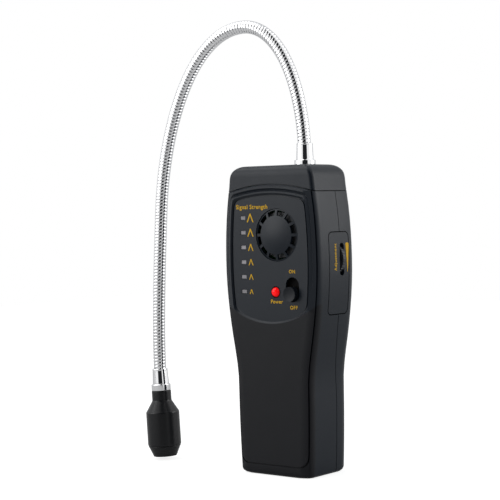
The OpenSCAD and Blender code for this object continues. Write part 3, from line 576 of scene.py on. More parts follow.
class Palette(Enum):
    """The finishes of the outside and of the pieces within."""

    HOUSING = FrontShadedPlastic("finish_housing", (0.0058, 0.0097, 0.0158), 0.36, specular=0.25)
    PANEL_TRIM = MouldedPlastic("finish_insert", (0.0058, 0.0097, 0.0158), 0.38, specular=0.25)
    KNOB = RecessShadedPlastic("finish_knob", (0.006, 0.008, 0.012), 0.4, grain_depth=0.006, specular=0.2)
    WHEEL = MouldedPlastic("finish_wheel", (0.028, 0.03, 0.034), 0.42, specular=0.4)
    TRAY = MouldedPlastic("finish_tray", (0.02, 0.02, 0.02), 0.6)
    COMPONENT = MouldedPlastic("finish_component", (0.03, 0.032, 0.035), 0.5)
    HEAD = MouldedPlastic("finish_head", (0.006, 0.0066, 0.0078), 0.3, grain_depth=0.008, specular=0.3)
    RUBBER = MouldedPlastic("finish_rubber", (0.025, 0.025, 0.026), 0.75, grain=0.2)
    NECK = PolishedMetal("finish_neck", (0.9, 0.905, 0.915), 0.07, sunk="sunk")
    FERRULE = PolishedMetal("finish_ferrule", (0.88, 0.885, 0.895), 0.07)
    STEEL = PolishedMetal("finish_steel", (0.5, 0.5, 0.49), 0.32)
    CONTACT = PolishedMetal("finish_contact", (0.7, 0.69, 0.66), 0.28)
    POWER_LAMP = TintedLens("finish_power_lamp", (0.75, 0.003, 0.004), 0.14, heart=(1.0, 0.007, 0.008),
                            centre=POWER_LAMP_AT, reach=2.6, glow=0.62)
    LAMP_WINDOW = TintedLens("finish_lamp_window", (0.27, 0.26, 0.275), 0.3, heart=(0.38, 0.365, 0.385),
                             centre=(-17.7, 116.0), reach=24.0)
    # Painted shade: the near-black ring round the red lamp's lens.
    SHADE_RING = MouldedPlastic("finish_lamp_shade_ring", (0.002, 0.002, 0.0024), 0.7, specular=0.1)
    LEGEND = PrintedInk("finish_legend", (0.7, 0.41, 0.02), 0.5)
    BOARD = BoardLacquer("finish_board", (0.01, 0.09, 0.03), 0.3)
    SCREEN = WovenScreen("finish_screen", (0.6, 0.6, 0.58), 0.35)
    FLOOR = StudioFloor("finish_floor", (0.4, 0.4, 0.4), 0.9, glow=0.82, mirrored=0.2)

    def on(self, piece: bpy.types.Object) -> None:
        """Gives a piece this finish alone."""
        wear(piece, self.value)


def wear(piece: bpy.types.Object, finish: Finish) -> None:
    """Puts a finish in every material slot of a piece.

    Args:
        piece: The piece.
        finish: The finish.
    """
    if not piece.material_slots:
        piece.data.materials.append(finish.material())
    for slot in piece.material_slots:
        slot.material = finish.material()


# Surfaces


def grid_faces(rows: int, columns: int, closed: bool) -> NDArray[np.int64]:
    """Joins a grid of points, whose columns run round and close, into four-cornered faces.

    The face at (i, j) has the corners (i, j), (i, j+1), (i+1, j+1), (i+1, j), counted round the grid.

    Args:
        rows: Number of rows of points.
        columns: Number of points in a row.
        closed: Whether the last row joins the first.

    Returns:
        The corners' numbers, four to a face.
    """
    i, j = np.meshgrid(np.arange(rows if closed else rows - 1), np.arange(columns), indexing="ij")
    down, right = (i + 1) % rows, (j + 1) % columns
    corners = [i * columns + j, i * columns + right, down * columns + right, down * columns + j]
    return np.stack(corners, axis=-1).reshape(-1, 4)


def capped_faces(rows: int, columns: int, outward: bool = True) -> Faces:
    """Joins a grid of points into faces, with a many-cornered face over its first row and its last.

    Args:
        rows: Number of rows of points.
        columns: Number of points in a row.
        outward: Whether the grid's own order makes the faces look outwards.

    Returns:
        The corners' numbers of each face.
    """
    last = (rows - 1) * columns
    ends = [list(range(columns))[::-1], list(range(last, last + columns))]
    faces = grid_faces(rows, columns, False).tolist() + ends
    return faces if outward else [face[::-1] for face in faces]


def linked(name: str, data: bpy.types.ID) -> bpy.types.Object:
    """Makes an object of its data and puts it in the scene.

    Args:
        name: The object's name.
        data: Its mesh, curve, lamp or camera.

    Returns:
        The object, at the origin.
    """
    made = bpy.data.objects.new(name, data)
    bpy.context.scene.collection.objects.link(made)
    return made


def piece_from(name: str, points: Points, faces: Faces, smooth: bool = True) -> bpy.types.Object:
    """Makes a piece.

    Args:
        name: The piece's name.
        points: Points in millimetres, one to a row.
        faces: Corner numbers of each face.
        smooth: Whether it is smooth-shaded.

    Returns:
        The piece, at the origin.
    """
    mesh = bpy.data.meshes.new(name)
    mesh.from_pydata((np.asarray(points) * MM).tolist(), [], faces)
    mesh.polygons.foreach_set("use_smooth", np.full(len(mesh.polygons), smooth))
    return linked(name, mesh)


def bar(name: str, rows: Points, outward: bool) -> bpy.types.Object:
    """Makes a closed bar of rows of points round it.

    Args:
        name: The piece's name.
        rows: Points in millimetres, by row and by place round the bar.
        outward: Whether the rows' order makes the faces look outwards.

    Returns:
        The piece, flat-shaded.
    """
    faces = capped_faces(*rows.shape[:2], outward)
    return piece_from(name, rows.reshape(-1, 3), faces, smooth=False)


def eased(outline: Points, radius: float, steps: int = 4) -> Points:
    """Rounds every corner of a closed outline.

    A corner P between its neighbours A and B becomes the curve (1-t)^2 P1 + 2t(1-t) P + t^2 P2, where P1
    and P2 lie the radius, or at most 0.45 of the side, from P towards A and B.

    Args:
        outline: Corners, one to a row.
        radius: How far from the corner the rounding starts.
        steps: Number of stretches in a corner.

    Returns:
        The rounded outline.
    """
    before, after = np.roll(outline, 1, axis=0), np.roll(outline, -1, axis=0)

    def towards(other: Points) -> Points:
        """The point where the rounding starts on the side to another corner."""
        side = np.linalg.norm(other - outline, axis=1, keepdims=True)
        return outline + (other - outline) * np.minimum(radius / np.maximum(side, 1e-9), 0.45)

    t = np.linspace(0.0, 1.0, steps + 1)[None, :, None]
    first, last, corner = towards(before)[:, None], towards(after)[:, None], outline[:, None]
    return ((1 - t) ** 2 * first + 2 * t * (1 - t) * corner + t**2 * last).reshape(-1, outline.shape[1])


def turned(
    name: str, profile: Points, foot: Points, axis: Points, solid: bool = False, sides: int = 72
) -> bpy.types.Object:
    """Turns a profile about an axis.

    A profile point (r, d) becomes foot + d*axis + r*(cos(a)*u + sin(a)*v) for every angle a, where u and v
    are square to the axis.

    Args:
        name: The piece's name.
        profile: Rows of distance from the axis and distance along it.
        foot: Where the axis starts.
        axis: Direction of the axis, of length 1.
        solid: Whether the profile's ends are closed by flat faces, and not joined to each other.
        sides: Number of points round the axis.

    Returns:
        The piece.
    """
    u = np.cross(axis, [1.0, 0.0, 0.0])
    u /= np.linalg.norm(u)
    v = np.cross(axis, u)
    angle = np.linspace(0.0, math.tau, sides, endpoint=False)
    ring = np.cos(angle)[:, None] * u + np.sin(angle)[:, None] * v
    points = foot + profile[:, 1, None, None] * axis + profile[:, 0, None, None] * ring
    ends = [[0.0, profile[-1, 1]], [0.0, profile[0, 1]]]
    loop = np.vstack([profile, ends]) if solid else profile
    area = np.sum(loop[:, 0] * np.roll(loop[:, 1], -1) - np.roll(loop[:, 0], -1) * loop[:, 1])
    if solid:
        faces = capped_faces(len(profile), sides, area > 0)
    else:
        faces = grid_faces(len(profile), sides, True)[:, :: 1 if area > 0 else -1].tolist()
    piece = piece_from(name, points.reshape(-1, 3), faces)
    weigh_normals(piece)
    return piece


def weigh_normals(piece: bpy.types.Object) -> None:
    """Lets a piece's large faces set the shading of its corners."""
    modifier = piece.modifiers.new("weighted", "WEIGHTED_NORMAL")
    modifier.keep_sharp = True


def merged_copy(
    node: bpy.types.Object, name: str, sharp: float = 28.0, weld: float = 0.0002, flat: float = 0.03
) -> bpy.types.Object:
    """Copies a node's loose triangles into one joined mesh with smooth rounds and crisp edges.

    Args:
        node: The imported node's object.
        name: The copy's name.
        sharp: Angle between faces, in degrees, from which an edge stays crisp.
        weld: Distance in millimetres within which corners become one.
        flat: Angle between faces, in degrees, under which they become one.

    Returns:
        The copy.
    """
    mesh = bpy.data.meshes.new(name)
    work = bmesh.new()
    work.from_mesh(node.data)
    bmesh.ops.remove_doubles(work, verts=work.verts, dist=weld * MM)
    bmesh.ops.dissolve_limit(work, angle_limit=math.radians(flat), verts=work.verts, edges=work.edges)
    work.to_mesh(mesh)
    work.free()
    mesh.attributes.remove(mesh.attributes["custom_normal"])
    mesh.polygons.foreach_set("use_smooth", np.ones(len(mesh.polygons), dtype=bool))
    mesh.set_sharp_from_angle(angle=math.radians(sharp))
    piece = linked(name, mesh)
    weigh_normals(piece)
    return piece


def hermite(stations: Points, z: Points) -> Points:
    """Value of the smooth curve through stations of place, value and slope: a cubic between neighbours.

    Args:
        stations: Rows of place, value and slope.
        z: Places.

    Returns:
        The values there.
    """
    i = np.clip(np.searchsorted(stations[:, 0], z, side="right") - 1, 0, len(stations) - 2)
    a, b = stations[i], stations[i + 1]
    d = b[..., 0] - a[..., 0]
    t = (z - a[..., 0]) / d
    ends = a[..., 1] * (2 * t**3 - 3 * t**2 + 1) + b[..., 1] * (3 * t**2 - 2 * t**3)
    return ends + d * a[..., 2] * (t**3 - 2 * t**2 + t) + d * b[..., 2] * (t**3 - t**2)


# Printed shapes


class Turn(Enum):
    """Which way a printed word runs."""

    LEVEL = 0
    UPWARD = 1


def lettering(
    text: str, size: float, place: Pair, turn: Turn, bold: float = 0.026
) -> tuple[Points, Faces]:
    """Makes a word as a thin closed plate, made bold by moving its outline out along its walls' normals.

    Args:
        text: The word.
        size: Height of its type in millimetres.
        place: Its middle, right and up.
        turn: Which way it runs.
        bold: How far the outline moves out, as a share of the size.

    Returns:
        Points right, up and out, and the faces.
    """
    curve = bpy.data.curves.new("word", "FONT")
    curve.body, curve.size, curve.extrude = text, size, 0.5
    curve.align_x, curve.align_y = "CENTER", "CENTER"
    curve.resolution_u, curve.space_character = 4, 1.12
    word = linked("word", curve)
    mesh = bpy.data.meshes.new_from_object(word.evaluated_get(bpy.context.evaluated_depsgraph_get()))
    work = bmesh.new()
    work.from_mesh(mesh)
    bmesh.ops.remove_doubles(work, verts=work.verts, dist=0.0001)
    bmesh.ops.dissolve_degenerate(work, edges=work.edges, dist=0.0001)
    work.normal_update()
    work.to_mesh(mesh)
    work.free()
    flat, way = np.empty((2, len(mesh.vertices) * 3))
    mesh.vertices.foreach_get("co", flat)
    mesh.vertices.foreach_get("normal", way)
    flat, way = flat.reshape(-1, 3) + [0.0, 0.0, 0.5], way.reshape(-1, 3)[:, :2]
    flat[:, :2] += bold * size * way / np.linalg.norm(way, axis=1, keepdims=True)
    faces = [list(polygon.vertices) for polygon in mesh.polygons]
    bpy.data.objects.remove(word)
    bpy.data.curves.remove(curve)
    bpy.data.meshes.remove(mesh)
    if turn is Turn.UPWARD:
        flat = np.stack([-flat[:, 1], flat[:, 0], flat[:, 2]], axis=1)
    return flat + [place[0], place[1], 0.0], faces


def plate(outline: Points) -> tuple[Points, Faces]:
    """Makes a thin closed plate of an outline that runs anticlockwise.

    Args:
        outline: Corners right and up.

    Returns:
        Points right, up and out, and the faces: front, back and a wall for each side.
    """
    n = len(outline)
    flat = np.vstack([np.column_stack([outline, np.full(n, out)]) for out in (1.0, 0.0)])
    i = np.arange(n)
    walls = np.stack([i, i + n, (i + 1) % n + n, (i + 1) % n], axis=1)
    return flat, [list(range(n)), list(range(2 * n - 1, n - 1, -1)), *walls.tolist()]


def wedge(rows: int = 24) -> tuple[Points, Faces]:
    """The long mark beside the wheel: a narrow foot that widens upwards to a rounded head.

    At height z the mark reaches w to both sides of its middle. From the foot w grows evenly, and over the
    head it draws in.

    Args:
        rows: Number of rows of points.

    Returns:
        Points back, up and out, and the faces of the closed strip.
    """
    middle, heights, widths = 8.75, [106.5, 120.9, 121.7], [0.15, 1.4, 1.0]
    z = np.linspace(heights[0], heights[-1], rows)
    w = np.interp(z, heights, widths)
    around = [(-1.0, 0.0), (1.0, 0.0), (1.0, 1.0), (-1.0, 1.0)]
    edges = [np.column_stack([middle + side * w, z, np.full(rows, out)]) for side, out in around]
    return np.stack(edges, axis=1).reshape(-1, 3), capped_faces(rows, 4, False)


def chevron(width: float, height: float, stroke: float) -> Points:
    """An upward mark with two legs of a stroke's width.

    Args:
        width: Width over both feet.
        height: Height.
        stroke: Width of a leg, measured level.

    Returns:
        Its outline, anticlockwise, about its middle.
    """
    w, h, s = width / 2, height / 2, stroke
    tip, notch = 0.45 * s, h - 1.5 * s
    return np.array([[w, -h], [tip, h], [-tip, h], [-w, -h], [s - w, -h], [0.0, notch], [w - s, -h]])


# Sub-assemblies


@dataclass
class Housing:
    """The moulded housing: two halves, cap and side insert, with the legends printed on them."""

    nodes: dict[str, bpy.types.Object]
    panel_y: float = PANEL_Y
    grip: float = 48.0
    flare: float = 76.0
    bulge: float = 112.0
    seam: float = 149.0
    height: float = HOUSING_TOP
    half_widths: tuple[float, ...] = (23.25, 24.6, 28.5, 31.65, 28.95, 27.6)
    side_leans: tuple[float, ...] = (3.4, 0.0, 9.0, 0.0, -9.5, -3.4)
    base_round: float = 2.6
    parting_low: float = 6.2
    parting_high: float = 2.6
    parting_ease: float = 8.0
    insert: Pair = (84.2, 127.9)
    seal: float = 0.19
    seal_ends: Pair = (1.0, 148.6)
    seal_under: float = 0.6
    seal_reach: float = 2.2
    seal_lift: float = 0.2
    seal_rows: int = 50
    film: float = 0.05
    marks: int = 6
    mark_at: Pair = (-12.7, 135.6)
    mark_pitch: float = 7.8
    mark_size: float = 4.6
    mark_shrink: float = 0.44
    mark_stroke: float = 0.76
    mark_thinner: float = 0.05

    def side(self, z: Points) -> Points:
        """Half the housing's width at a height.

        Args:
            z: Heights.

        Returns:
            Half widths.
        """
        heights = [0.0, self.grip, self.flare, self.bulge, self.seam, self.height]
        slopes = np.tan(np.radians(self.side_leans))
        return hermite(np.column_stack([heights, self.half_widths, slopes]), np.asarray(z, dtype=float))

    def build(self) -> list[bpy.types.Object]:
        """Copies the four mouldings with smooth rounds, and prints the legends.

        Returns:
            The new pieces.
        """
        finishes = {
            "front_shell": Palette.HOUSING,
            "rear_shell": Palette.HOUSING,
            "top_cap": Palette.HOUSING,
            "side_insert": Palette.PANEL_TRIM,
        }
        pieces = []
        for name, finish in finishes.items():
            piece = merged_copy(self.nodes[name], f"{name}_skin")
            finish.on(piece)
            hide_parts(name)
            pieces.append(piece)
        pieces += [*self.seals(), *self.legends()]
        for piece in pieces:
            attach(piece, "housing")
        return pieces

    def seals(self) -> list[bpy.types.Object]:
        """Lays thin sealing strips in the seam of the two halves: up both sides and across the base.

        A side strip reaches inwards from just under the side's surface, which draws in along a quarter
        circle at the base. The right side has two strips, below and above the insert.

        Returns:
            The strips.
        """
        low, high = self.seal_ends
        below, above = self.insert
        runs = [
            ("seal_left", -1.0, low, high),
            ("seal_low", 1.0, low, below),
            ("seal_high", 1.0, above, high),
        ]
        strips = []
        for name, hand, start, end in runs:
            z = np.linspace(start, end, self.seal_rows)
            rounded = np.maximum(self.base_round - z, 0.0)
            skin = self.side(z) - self.base_round + np.sqrt(self.base_round**2 - rounded**2)
            near, deep = skin - self.seal_under, self.side(z) - self.seal_reach
            corners = [(near, -self.seal), (near, self.seal), (deep, self.seal), (deep, -self.seal)]
            rows = [np.column_stack([hand * x, self.parting(z) + off, z]) for x, off in corners]
            strips.append(bar(name, np.stack(rows, axis=1), hand > 0))
        inner = self.side(0.0) - self.seal_reach
        x, middle = np.array([-inner, inner]), self.parting(np.zeros(2))
        low, high = self.seal_lift, self.seal_reach
        corners = [(-self.seal, low), (self.seal, low), (self.seal, high), (-self.seal, high)]
        rows = [np.column_stack([x, middle + off, np.full(2, z)]) for off, z in corners]
        strips.append(bar("seal_base", np.stack(rows, axis=1), True))
        for strip in strips:
            Palette.RUBBER.on(strip)
        return strips

    def parting(self, z: Points) -> Points:
        """How far behind the middle the seam of the two halves lies.

        Args:
            z: Heights.

        Returns:
            Distances to the back.
        """
        heights = [0.0, self.grip - self.parting_ease, self.flare + self.parting_ease, self.height]
        backs = [self.parting_low, self.parting_low, self.parting_high, self.parting_high]
        return hermite(np.column_stack([heights, backs, np.zeros(4)]), z)

    def on_panel(self, flat: Points) -> Points:
        """Puts flat points (right, up, out) on the sunk panel."""
        return np.stack([flat[:, 0], self.panel_y - self.film * flat[:, 2], flat[:, 1]], axis=1)

    def on_side(self, flat: Points) -> Points:
        """Puts flat points (back, up, out) on the right side, which swells with height."""
        return np.stack([self.side(flat[:, 1]) + self.film * flat[:, 2], flat[:, 0], flat[:, 1]], axis=1)

    def legends(self) -> list[bpy.types.Object]:
        """Prints the words, the rising marks beside the lamps and the wedge beside the wheel.

        Returns:
            The printed pieces.
        """
        words = [
            ("legend_level", "Signal Strength", 3.15, (-11.5, 141.3), Turn.LEVEL, self.on_panel),
            ("legend_power", "Power", 2.75, (4.1, 91.6), Turn.LEVEL, self.on_panel),
            ("legend_on", "ON", 2.5, (14.6, 107.4), Turn.LEVEL, self.on_panel),
            ("legend_off", "OFF", 2.65, (15.3, 88.7), Turn.LEVEL, self.on_panel),
            ("legend_adjust", "Adjustment", 2.7, (-1.6, 114.4), Turn.UPWARD, self.on_side),
        ]
        pieces = [self.printed(name, *lettering(text, size, place, turn), put)
                  for name, text, size, place, turn, put in words]
        for i in range(self.marks):
            size = self.mark_size * (1.0 - i / (self.marks - 1) * self.mark_shrink)
            place = [self.mark_at[0], self.mark_at[1] - self.mark_pitch * i]
            mark = chevron(size, size, self.mark_stroke - self.mark_thinner * i) + place
            pieces.append(self.printed(f"legend_mark_{i + 1}", *plate(mark), self.on_panel))
        pieces.append(self.printed("legend_wedge", *wedge(), self.on_side))
        return pieces

    def printed(self, name: str, flat: Points, faces: Faces, put: Placing) -> bpy.types.Object:
        """Makes one printed piece.

        Args:
            name: The piece's name.
            flat: Points right, up and out, where out is 0 at the ground and 1 at the ink's top.
            faces: Corner numbers.
            put: Puts flat points on the surface that carries the print.

        Returns:
            The piece.
        """
        piece = piece_from(name, put(flat), faces, smooth=False)
        Palette.LEGEND.on(piece)
        return piece


@dataclass
class Controls:
    """The switch knob, thumbwheel and lamps."""

    nodes: dict[str, bpy.types.Object]
    lamp: Pair = POWER_LAMP_AT
    lamp_foot: float = -14.35
    panel_y: float = PANEL_Y
    lens_r: float = 2.5
    dome_at: float = 1.9
    flange_r: float = 2.95
    flange: float = 1.0
    leg_half: float = 0.25
    leg_ends: Pair = (-0.1, 8.35)
    leg_aside: float = 1.27
    # collar_r, collar_up and collar_down size the near-black ring of painted shade round the red lamp.
    collar_r: Pair = (2.52, 3.1)
    collar_up: Pair = (0.03, 0.06)
    collar_down: float = 0.6

    def build(self) -> list[bpy.types.Object]:
        """Copies the moving controls with crisp edges and dresses the lamps.

        Returns:
            The new pieces.
        """
        moving = [("switch_knob", "knob", Palette.KNOB), ("thumbwheel", "wheel", Palette.WHEEL)]
        pieces = []
        for name, body, finish in moving:
            piece = merged_copy(self.nodes[name], f"{name}_skin")
            finish.on(piece)
            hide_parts(name)
            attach(piece, body)
            pieces.append(piece)
        for i in range(1, 7):
            Palette.LAMP_WINDOW.on(self.nodes[f"indicator_led_{i}"])
        return [*pieces, *self.power_lamp()]

    def power_lamp(self) -> list[bpy.types.Object]:
        """Turns the red lamp's flanged lens and a ring of painted shade about their axis, and makes its two
        legs.

        The dome is a quarter circle: (r cos(a), d + r sin(a)) from the foot of the flange, for the lens's
        radius r and the dome's start d.

        Returns:
            The new pieces.
        """
        a = np.linspace(0.0, 0.5 * math.pi - 0.01, 16)
        dome = np.column_stack([self.lens_r * np.cos(a), self.dome_at + self.lens_r * np.sin(a)])
        flange = [[self.flange_r, 0.0], [self.flange_r, self.flange], [self.lens_r, self.flange]]
        foot = np.array([self.lamp[0], self.lamp_foot, self.lamp[1]])
        lens = turned("power_lamp_lens", np.vstack([flange, dome]), foot, TO_FRONT, solid=True)
        Palette.POWER_LAMP.on(lens)
        width = (-self.leg_half, self.leg_half)
        corners = np.stack(np.meshgrid(width, self.leg_ends, width, indexing="ij"), axis=-1).reshape(-1, 3)
        sides = np.array([
            [0, 1, 3, 2], [4, 6, 7, 5], [0, 4, 5, 1], [2, 3, 7, 6], [0, 2, 6, 4], [1, 5, 7, 3],
        ])
        points = np.vstack([corners + foot + [self.leg_aside * s, 0.0, 0.0] for s in (-1.0, 1.0)])
        legs = piece_from("power_lamp_legs", points, np.vstack([sides, sides + 8]).tolist())
        Palette.CONTACT.on(legs)
        for piece, slot in ((lens, "red_lens"), (legs, "screw_steel")):
            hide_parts("power_led")
        # The collar is a near-black ring of painted shade in the panel round the lens.
        inner, outer = self.collar_r
        foot_line = [[inner, -self.collar_down], [outer, -self.collar_down]]
        rim = np.array([*foot_line, [outer, self.collar_up[1]], [inner, self.collar_up[0]]])
        seat = np.array([self.lamp[0], self.panel_y, self.lamp[1]])
        collar = turned("power_lamp_shade_ring", rim, seat, TO_FRONT)
        Palette.SHADE_RING.on(collar)
        for piece in (lens, legs, collar):
            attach(piece, "housing")
        return [lens, legs, collar]


@dataclass
class Inside:
    """What the housing holds: board, cells, contacts, screws and the door that covers the cells."""

    nodes: dict[str, bpy.types.Object]
    cell_low: float = 6.4
    cell_high: float = 56.9
    cell_colour: Colour = (0.55, 0.24, 0.07)

    def build(self) -> list[bpy.types.Object]:
        """Dresses every inner piece, and copies the door with crisp edges.

        Returns:
            The new pieces.
        """
        finishes = {
            Palette.BOARD: ["circuit_board"],
            Palette.COMPONENT: ["potentiometer", "slide_switch", "buzzer"],
            Palette.TRAY: ["battery_tray"],
            Palette.STEEL: ["board_screws", "case_screws", "door_screw", "neck_nut", "neck_washer"],
            Palette.CONTACT: [f"battery_contact_{i}" for i in range(1, 6)],
            Palette.RUBBER: ["sensor_seal"],
            Palette.SCREEN: ["sensor_element"],
        }
        for finish, names in finishes.items():
            for name in names:
                finish.on(self.nodes[name])
        for i in range(4):
            upward = (i % 2 + i // 2) % 2 == 0
            jacket = CellJacket(f"finish_cell_{'up' if upward else 'down'}", self.cell_colour, 0.28,
                                low=self.cell_low, high=self.cell_high, pole_up=upward)
            wear(self.nodes[f"battery_cell_{i + 1}"], jacket)
        door = merged_copy(self.nodes["battery_door"], "battery_door_skin")
        Palette.HOUSING.on(door)
        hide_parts("battery_door")
        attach(door, "door")
        return [door]


@dataclass
class Neck:
    """The gooseneck, wound of flat wire, and the ferrule that holds it on the cap."""

    foot: Pair = (11.0, 1.0)
    foot_z: float = 166.6
    apex: Pair = (38.0, 238.8)
    side: Pair = (97.0, 140.0)
    reach: float = 100.2
    turn: float = 4.5
    hang: float = 4.0
    head_lean: float = 3.0
    head_length: float = 49.2
    head_lift: float = 1.9
    held: float = 1.0
    controls: list[list[Pair]] = field(init=False)
    radius: float = 3.5
    pitch: float = 1.8
    groove: float = 0.32
    floor: float = 0.94
    sides: int = 32
    rings: int = 16
    fit: float = 0.15
    sleeve: float = 8.8
    cap_z: float = HOUSING_TOP

    def __post_init__(self) -> None:
        """Lays the route as three cubic stretches of reach and height: up, over the top, and down."""
        lean, hang = math.radians(self.head_lean), math.radians(self.hang)
        end_z = self.head_length * math.cos(lean) + self.head_lift - self.sleeve + self.held
        start, top, side, end = (0.0, self.foot_z), self.apex, self.side, (self.reach, end_z)
        self.controls = [
            [start, (0.0, self.foot_z + 42.0), (top[0] - 22.0, top[1]), top],
            [top, (top[0] + 33.0, top[1]), self.pulled(side, hang, -52.0), side],
            [side, self.pulled(side, hang, 30.0), self.pulled(end, -lean, -30.0), end],
        ]

    @staticmethod
    def pulled(point: Pair, angle: float, pull: float) -> Pair:
        """A point's control point, a pull further down a line that hangs at an angle."""
        return point[0] + pull * math.sin(angle), point[1] - pull * math.cos(angle)

    def place(self, flat: Points) -> Points:
        """Puts points in the neck's upright plane, which is turned about its foot.

        Args:
            flat: Reach and height, in the last axis.

        Returns:
            The points in space.
        """
        yaw = math.radians(self.turn)
        x = self.foot[0] - flat[..., 0] * math.cos(yaw)
        return np.stack([x, self.foot[1] - flat[..., 0] * math.sin(yaw), flat[..., 1]], axis=-1)

    def route(self) -> tuple[Points, Points]:
        """Samples the route.

        Each stretch is (1-t)^3 A + 3(1-t)^2 t B + 3(1-t) t^2 C + t^3 D.

        Returns:
            Length along the route, and points of reach and height there.
        """
        t = np.linspace(0.0, 1.0, 400)[:, None]
        stretches = [(1 - t) ** 3 * a + 3 * (1 - t) ** 2 * t * b + 3 * (1 - t) * t**2 * c + t**3 * d
                     for a, b, c, d in np.array(self.controls)]
        flat = np.vstack([stretches[0], stretches[1][1:], stretches[2][1:]])
        length = np.concatenate([[0.0], np.cumsum(np.linalg.norm(np.diff(flat, axis=0), axis=1))])
        return length, flat

    def tube(self, name: str, start: float, end: float) -> bpy.types.Object:
        """Winds the tube between two lengths along the route.

        The radius at length s and angle a is R - g*(0.1*u^2 + 0.9*u^10), where s/pitch - a/360 counts the
        turns. Over each turn of the flat wire u goes from 1 to 0 and back, and it stays at 1 on the floor of
        the groove.

        Args:
            name: The piece's name.
            start: Where it starts, along the route.
            end: Where it ends.

        Returns:
            The piece, closed at both ends.
        """
        length, flat = self.route()
        count = int(round((end - start) / self.pitch * self.rings)) + 1
        s = np.linspace(start, end, count)
        centre = np.stack([np.interp(s, length, flat[:, k]) for k in range(2)], axis=1)
        way = np.gradient(flat, length, axis=0)
        way = np.stack([np.interp(s, length, way[:, k]) for k in range(2)], axis=1)
        way /= np.linalg.norm(way, axis=1, keepdims=True)
        across = np.stack([way[:, 1], -way[:, 0]], axis=1)
        angle = np.linspace(0.0, math.tau, self.sides, endpoint=False)
        u = np.abs(2.0 * np.mod(s[:, None] / self.pitch - angle / math.tau, 1.0) - 1.0)
        u = np.minimum(u / self.floor, 1.0)
        sunk = 0.1 * u**2 + 0.9 * u**10
        r = self.radius - self.groove * sunk
        yaw = math.radians(self.turn)
        aside = np.array([math.sin(yaw), -math.cos(yaw), 0.0])
        points = self.place(centre[:, None] + (r * np.cos(angle))[..., None] * across[:, None])
        points = points + (r * np.sin(angle))[..., None] * aside
        piece = piece_from(name, points.reshape(-1, 3), capped_faces(count, self.sides))
        # The sunk value also drives the neck finish's painted shade in the grooves.
        value = piece.data.attributes.new("sunk", "FLOAT", "POINT")
        value.data.foreach_set("value", sunk.ravel())
        Palette.NECK.on(piece)
        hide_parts("gooseneck")
        return piece

    def build(self) -> list[bpy.types.Object]:
        """Winds the neck in two lengths that meet at its highest turn, and turns the lower ferrule.

        Returns:
            The new pieces.
        """
        length, flat = self.route()
        apex = round(np.interp(self.apex[0], flat[:500, 0], length[:500]) / self.pitch) * self.pitch
        lower = self.tube("gooseneck_rising", 0.0, apex)
        upper = self.tube("gooseneck_hanging", apex, length[-1])
        bends = [(lower, "housing", "neck", (0.0, 177.0), (1.6, 211.0)),
                 (upper, "neck", "head", (99.4, 108.0), (100.6, 56.0))]
        for piece, first, second, start, end in bends:
            places = [tuple(self.place(np.array(p)) * MM) for p in (start, end)]
            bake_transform(piece)
        return [lower, upper, self.ferrule()]

    def ferrule(self) -> bpy.types.Object:
        """Turns the flanged sleeve on the cap, with a bead at its mouth and a groove above its flange.

        Returns:
            The piece.
        """
        r = self.radius + self.fit
        outline = np.array([
            [2.2, -7.7], [4.0, -7.7], [4.0, 0.0], [5.6, 0.0], [5.6, 2.6], [r + 1.05, 2.6], [r + 0.85, 3.2],
            [r + 0.9, 4.0], [r + 0.6, 10.6], [r + 0.7, 11.0], [r + 0.5, 11.4], [r, 11.4], [r, 3.6],
            [2.2, 3.6],
        ])
        foot = np.array([*self.foot, self.cap_z])
        piece = turned("lower_ferrule_skin", eased(outline, 0.4), foot, TO_TOP)
        Palette.FERRULE.on(piece)
        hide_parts("lower_ferrule")
        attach(piece, "housing")
        return piece


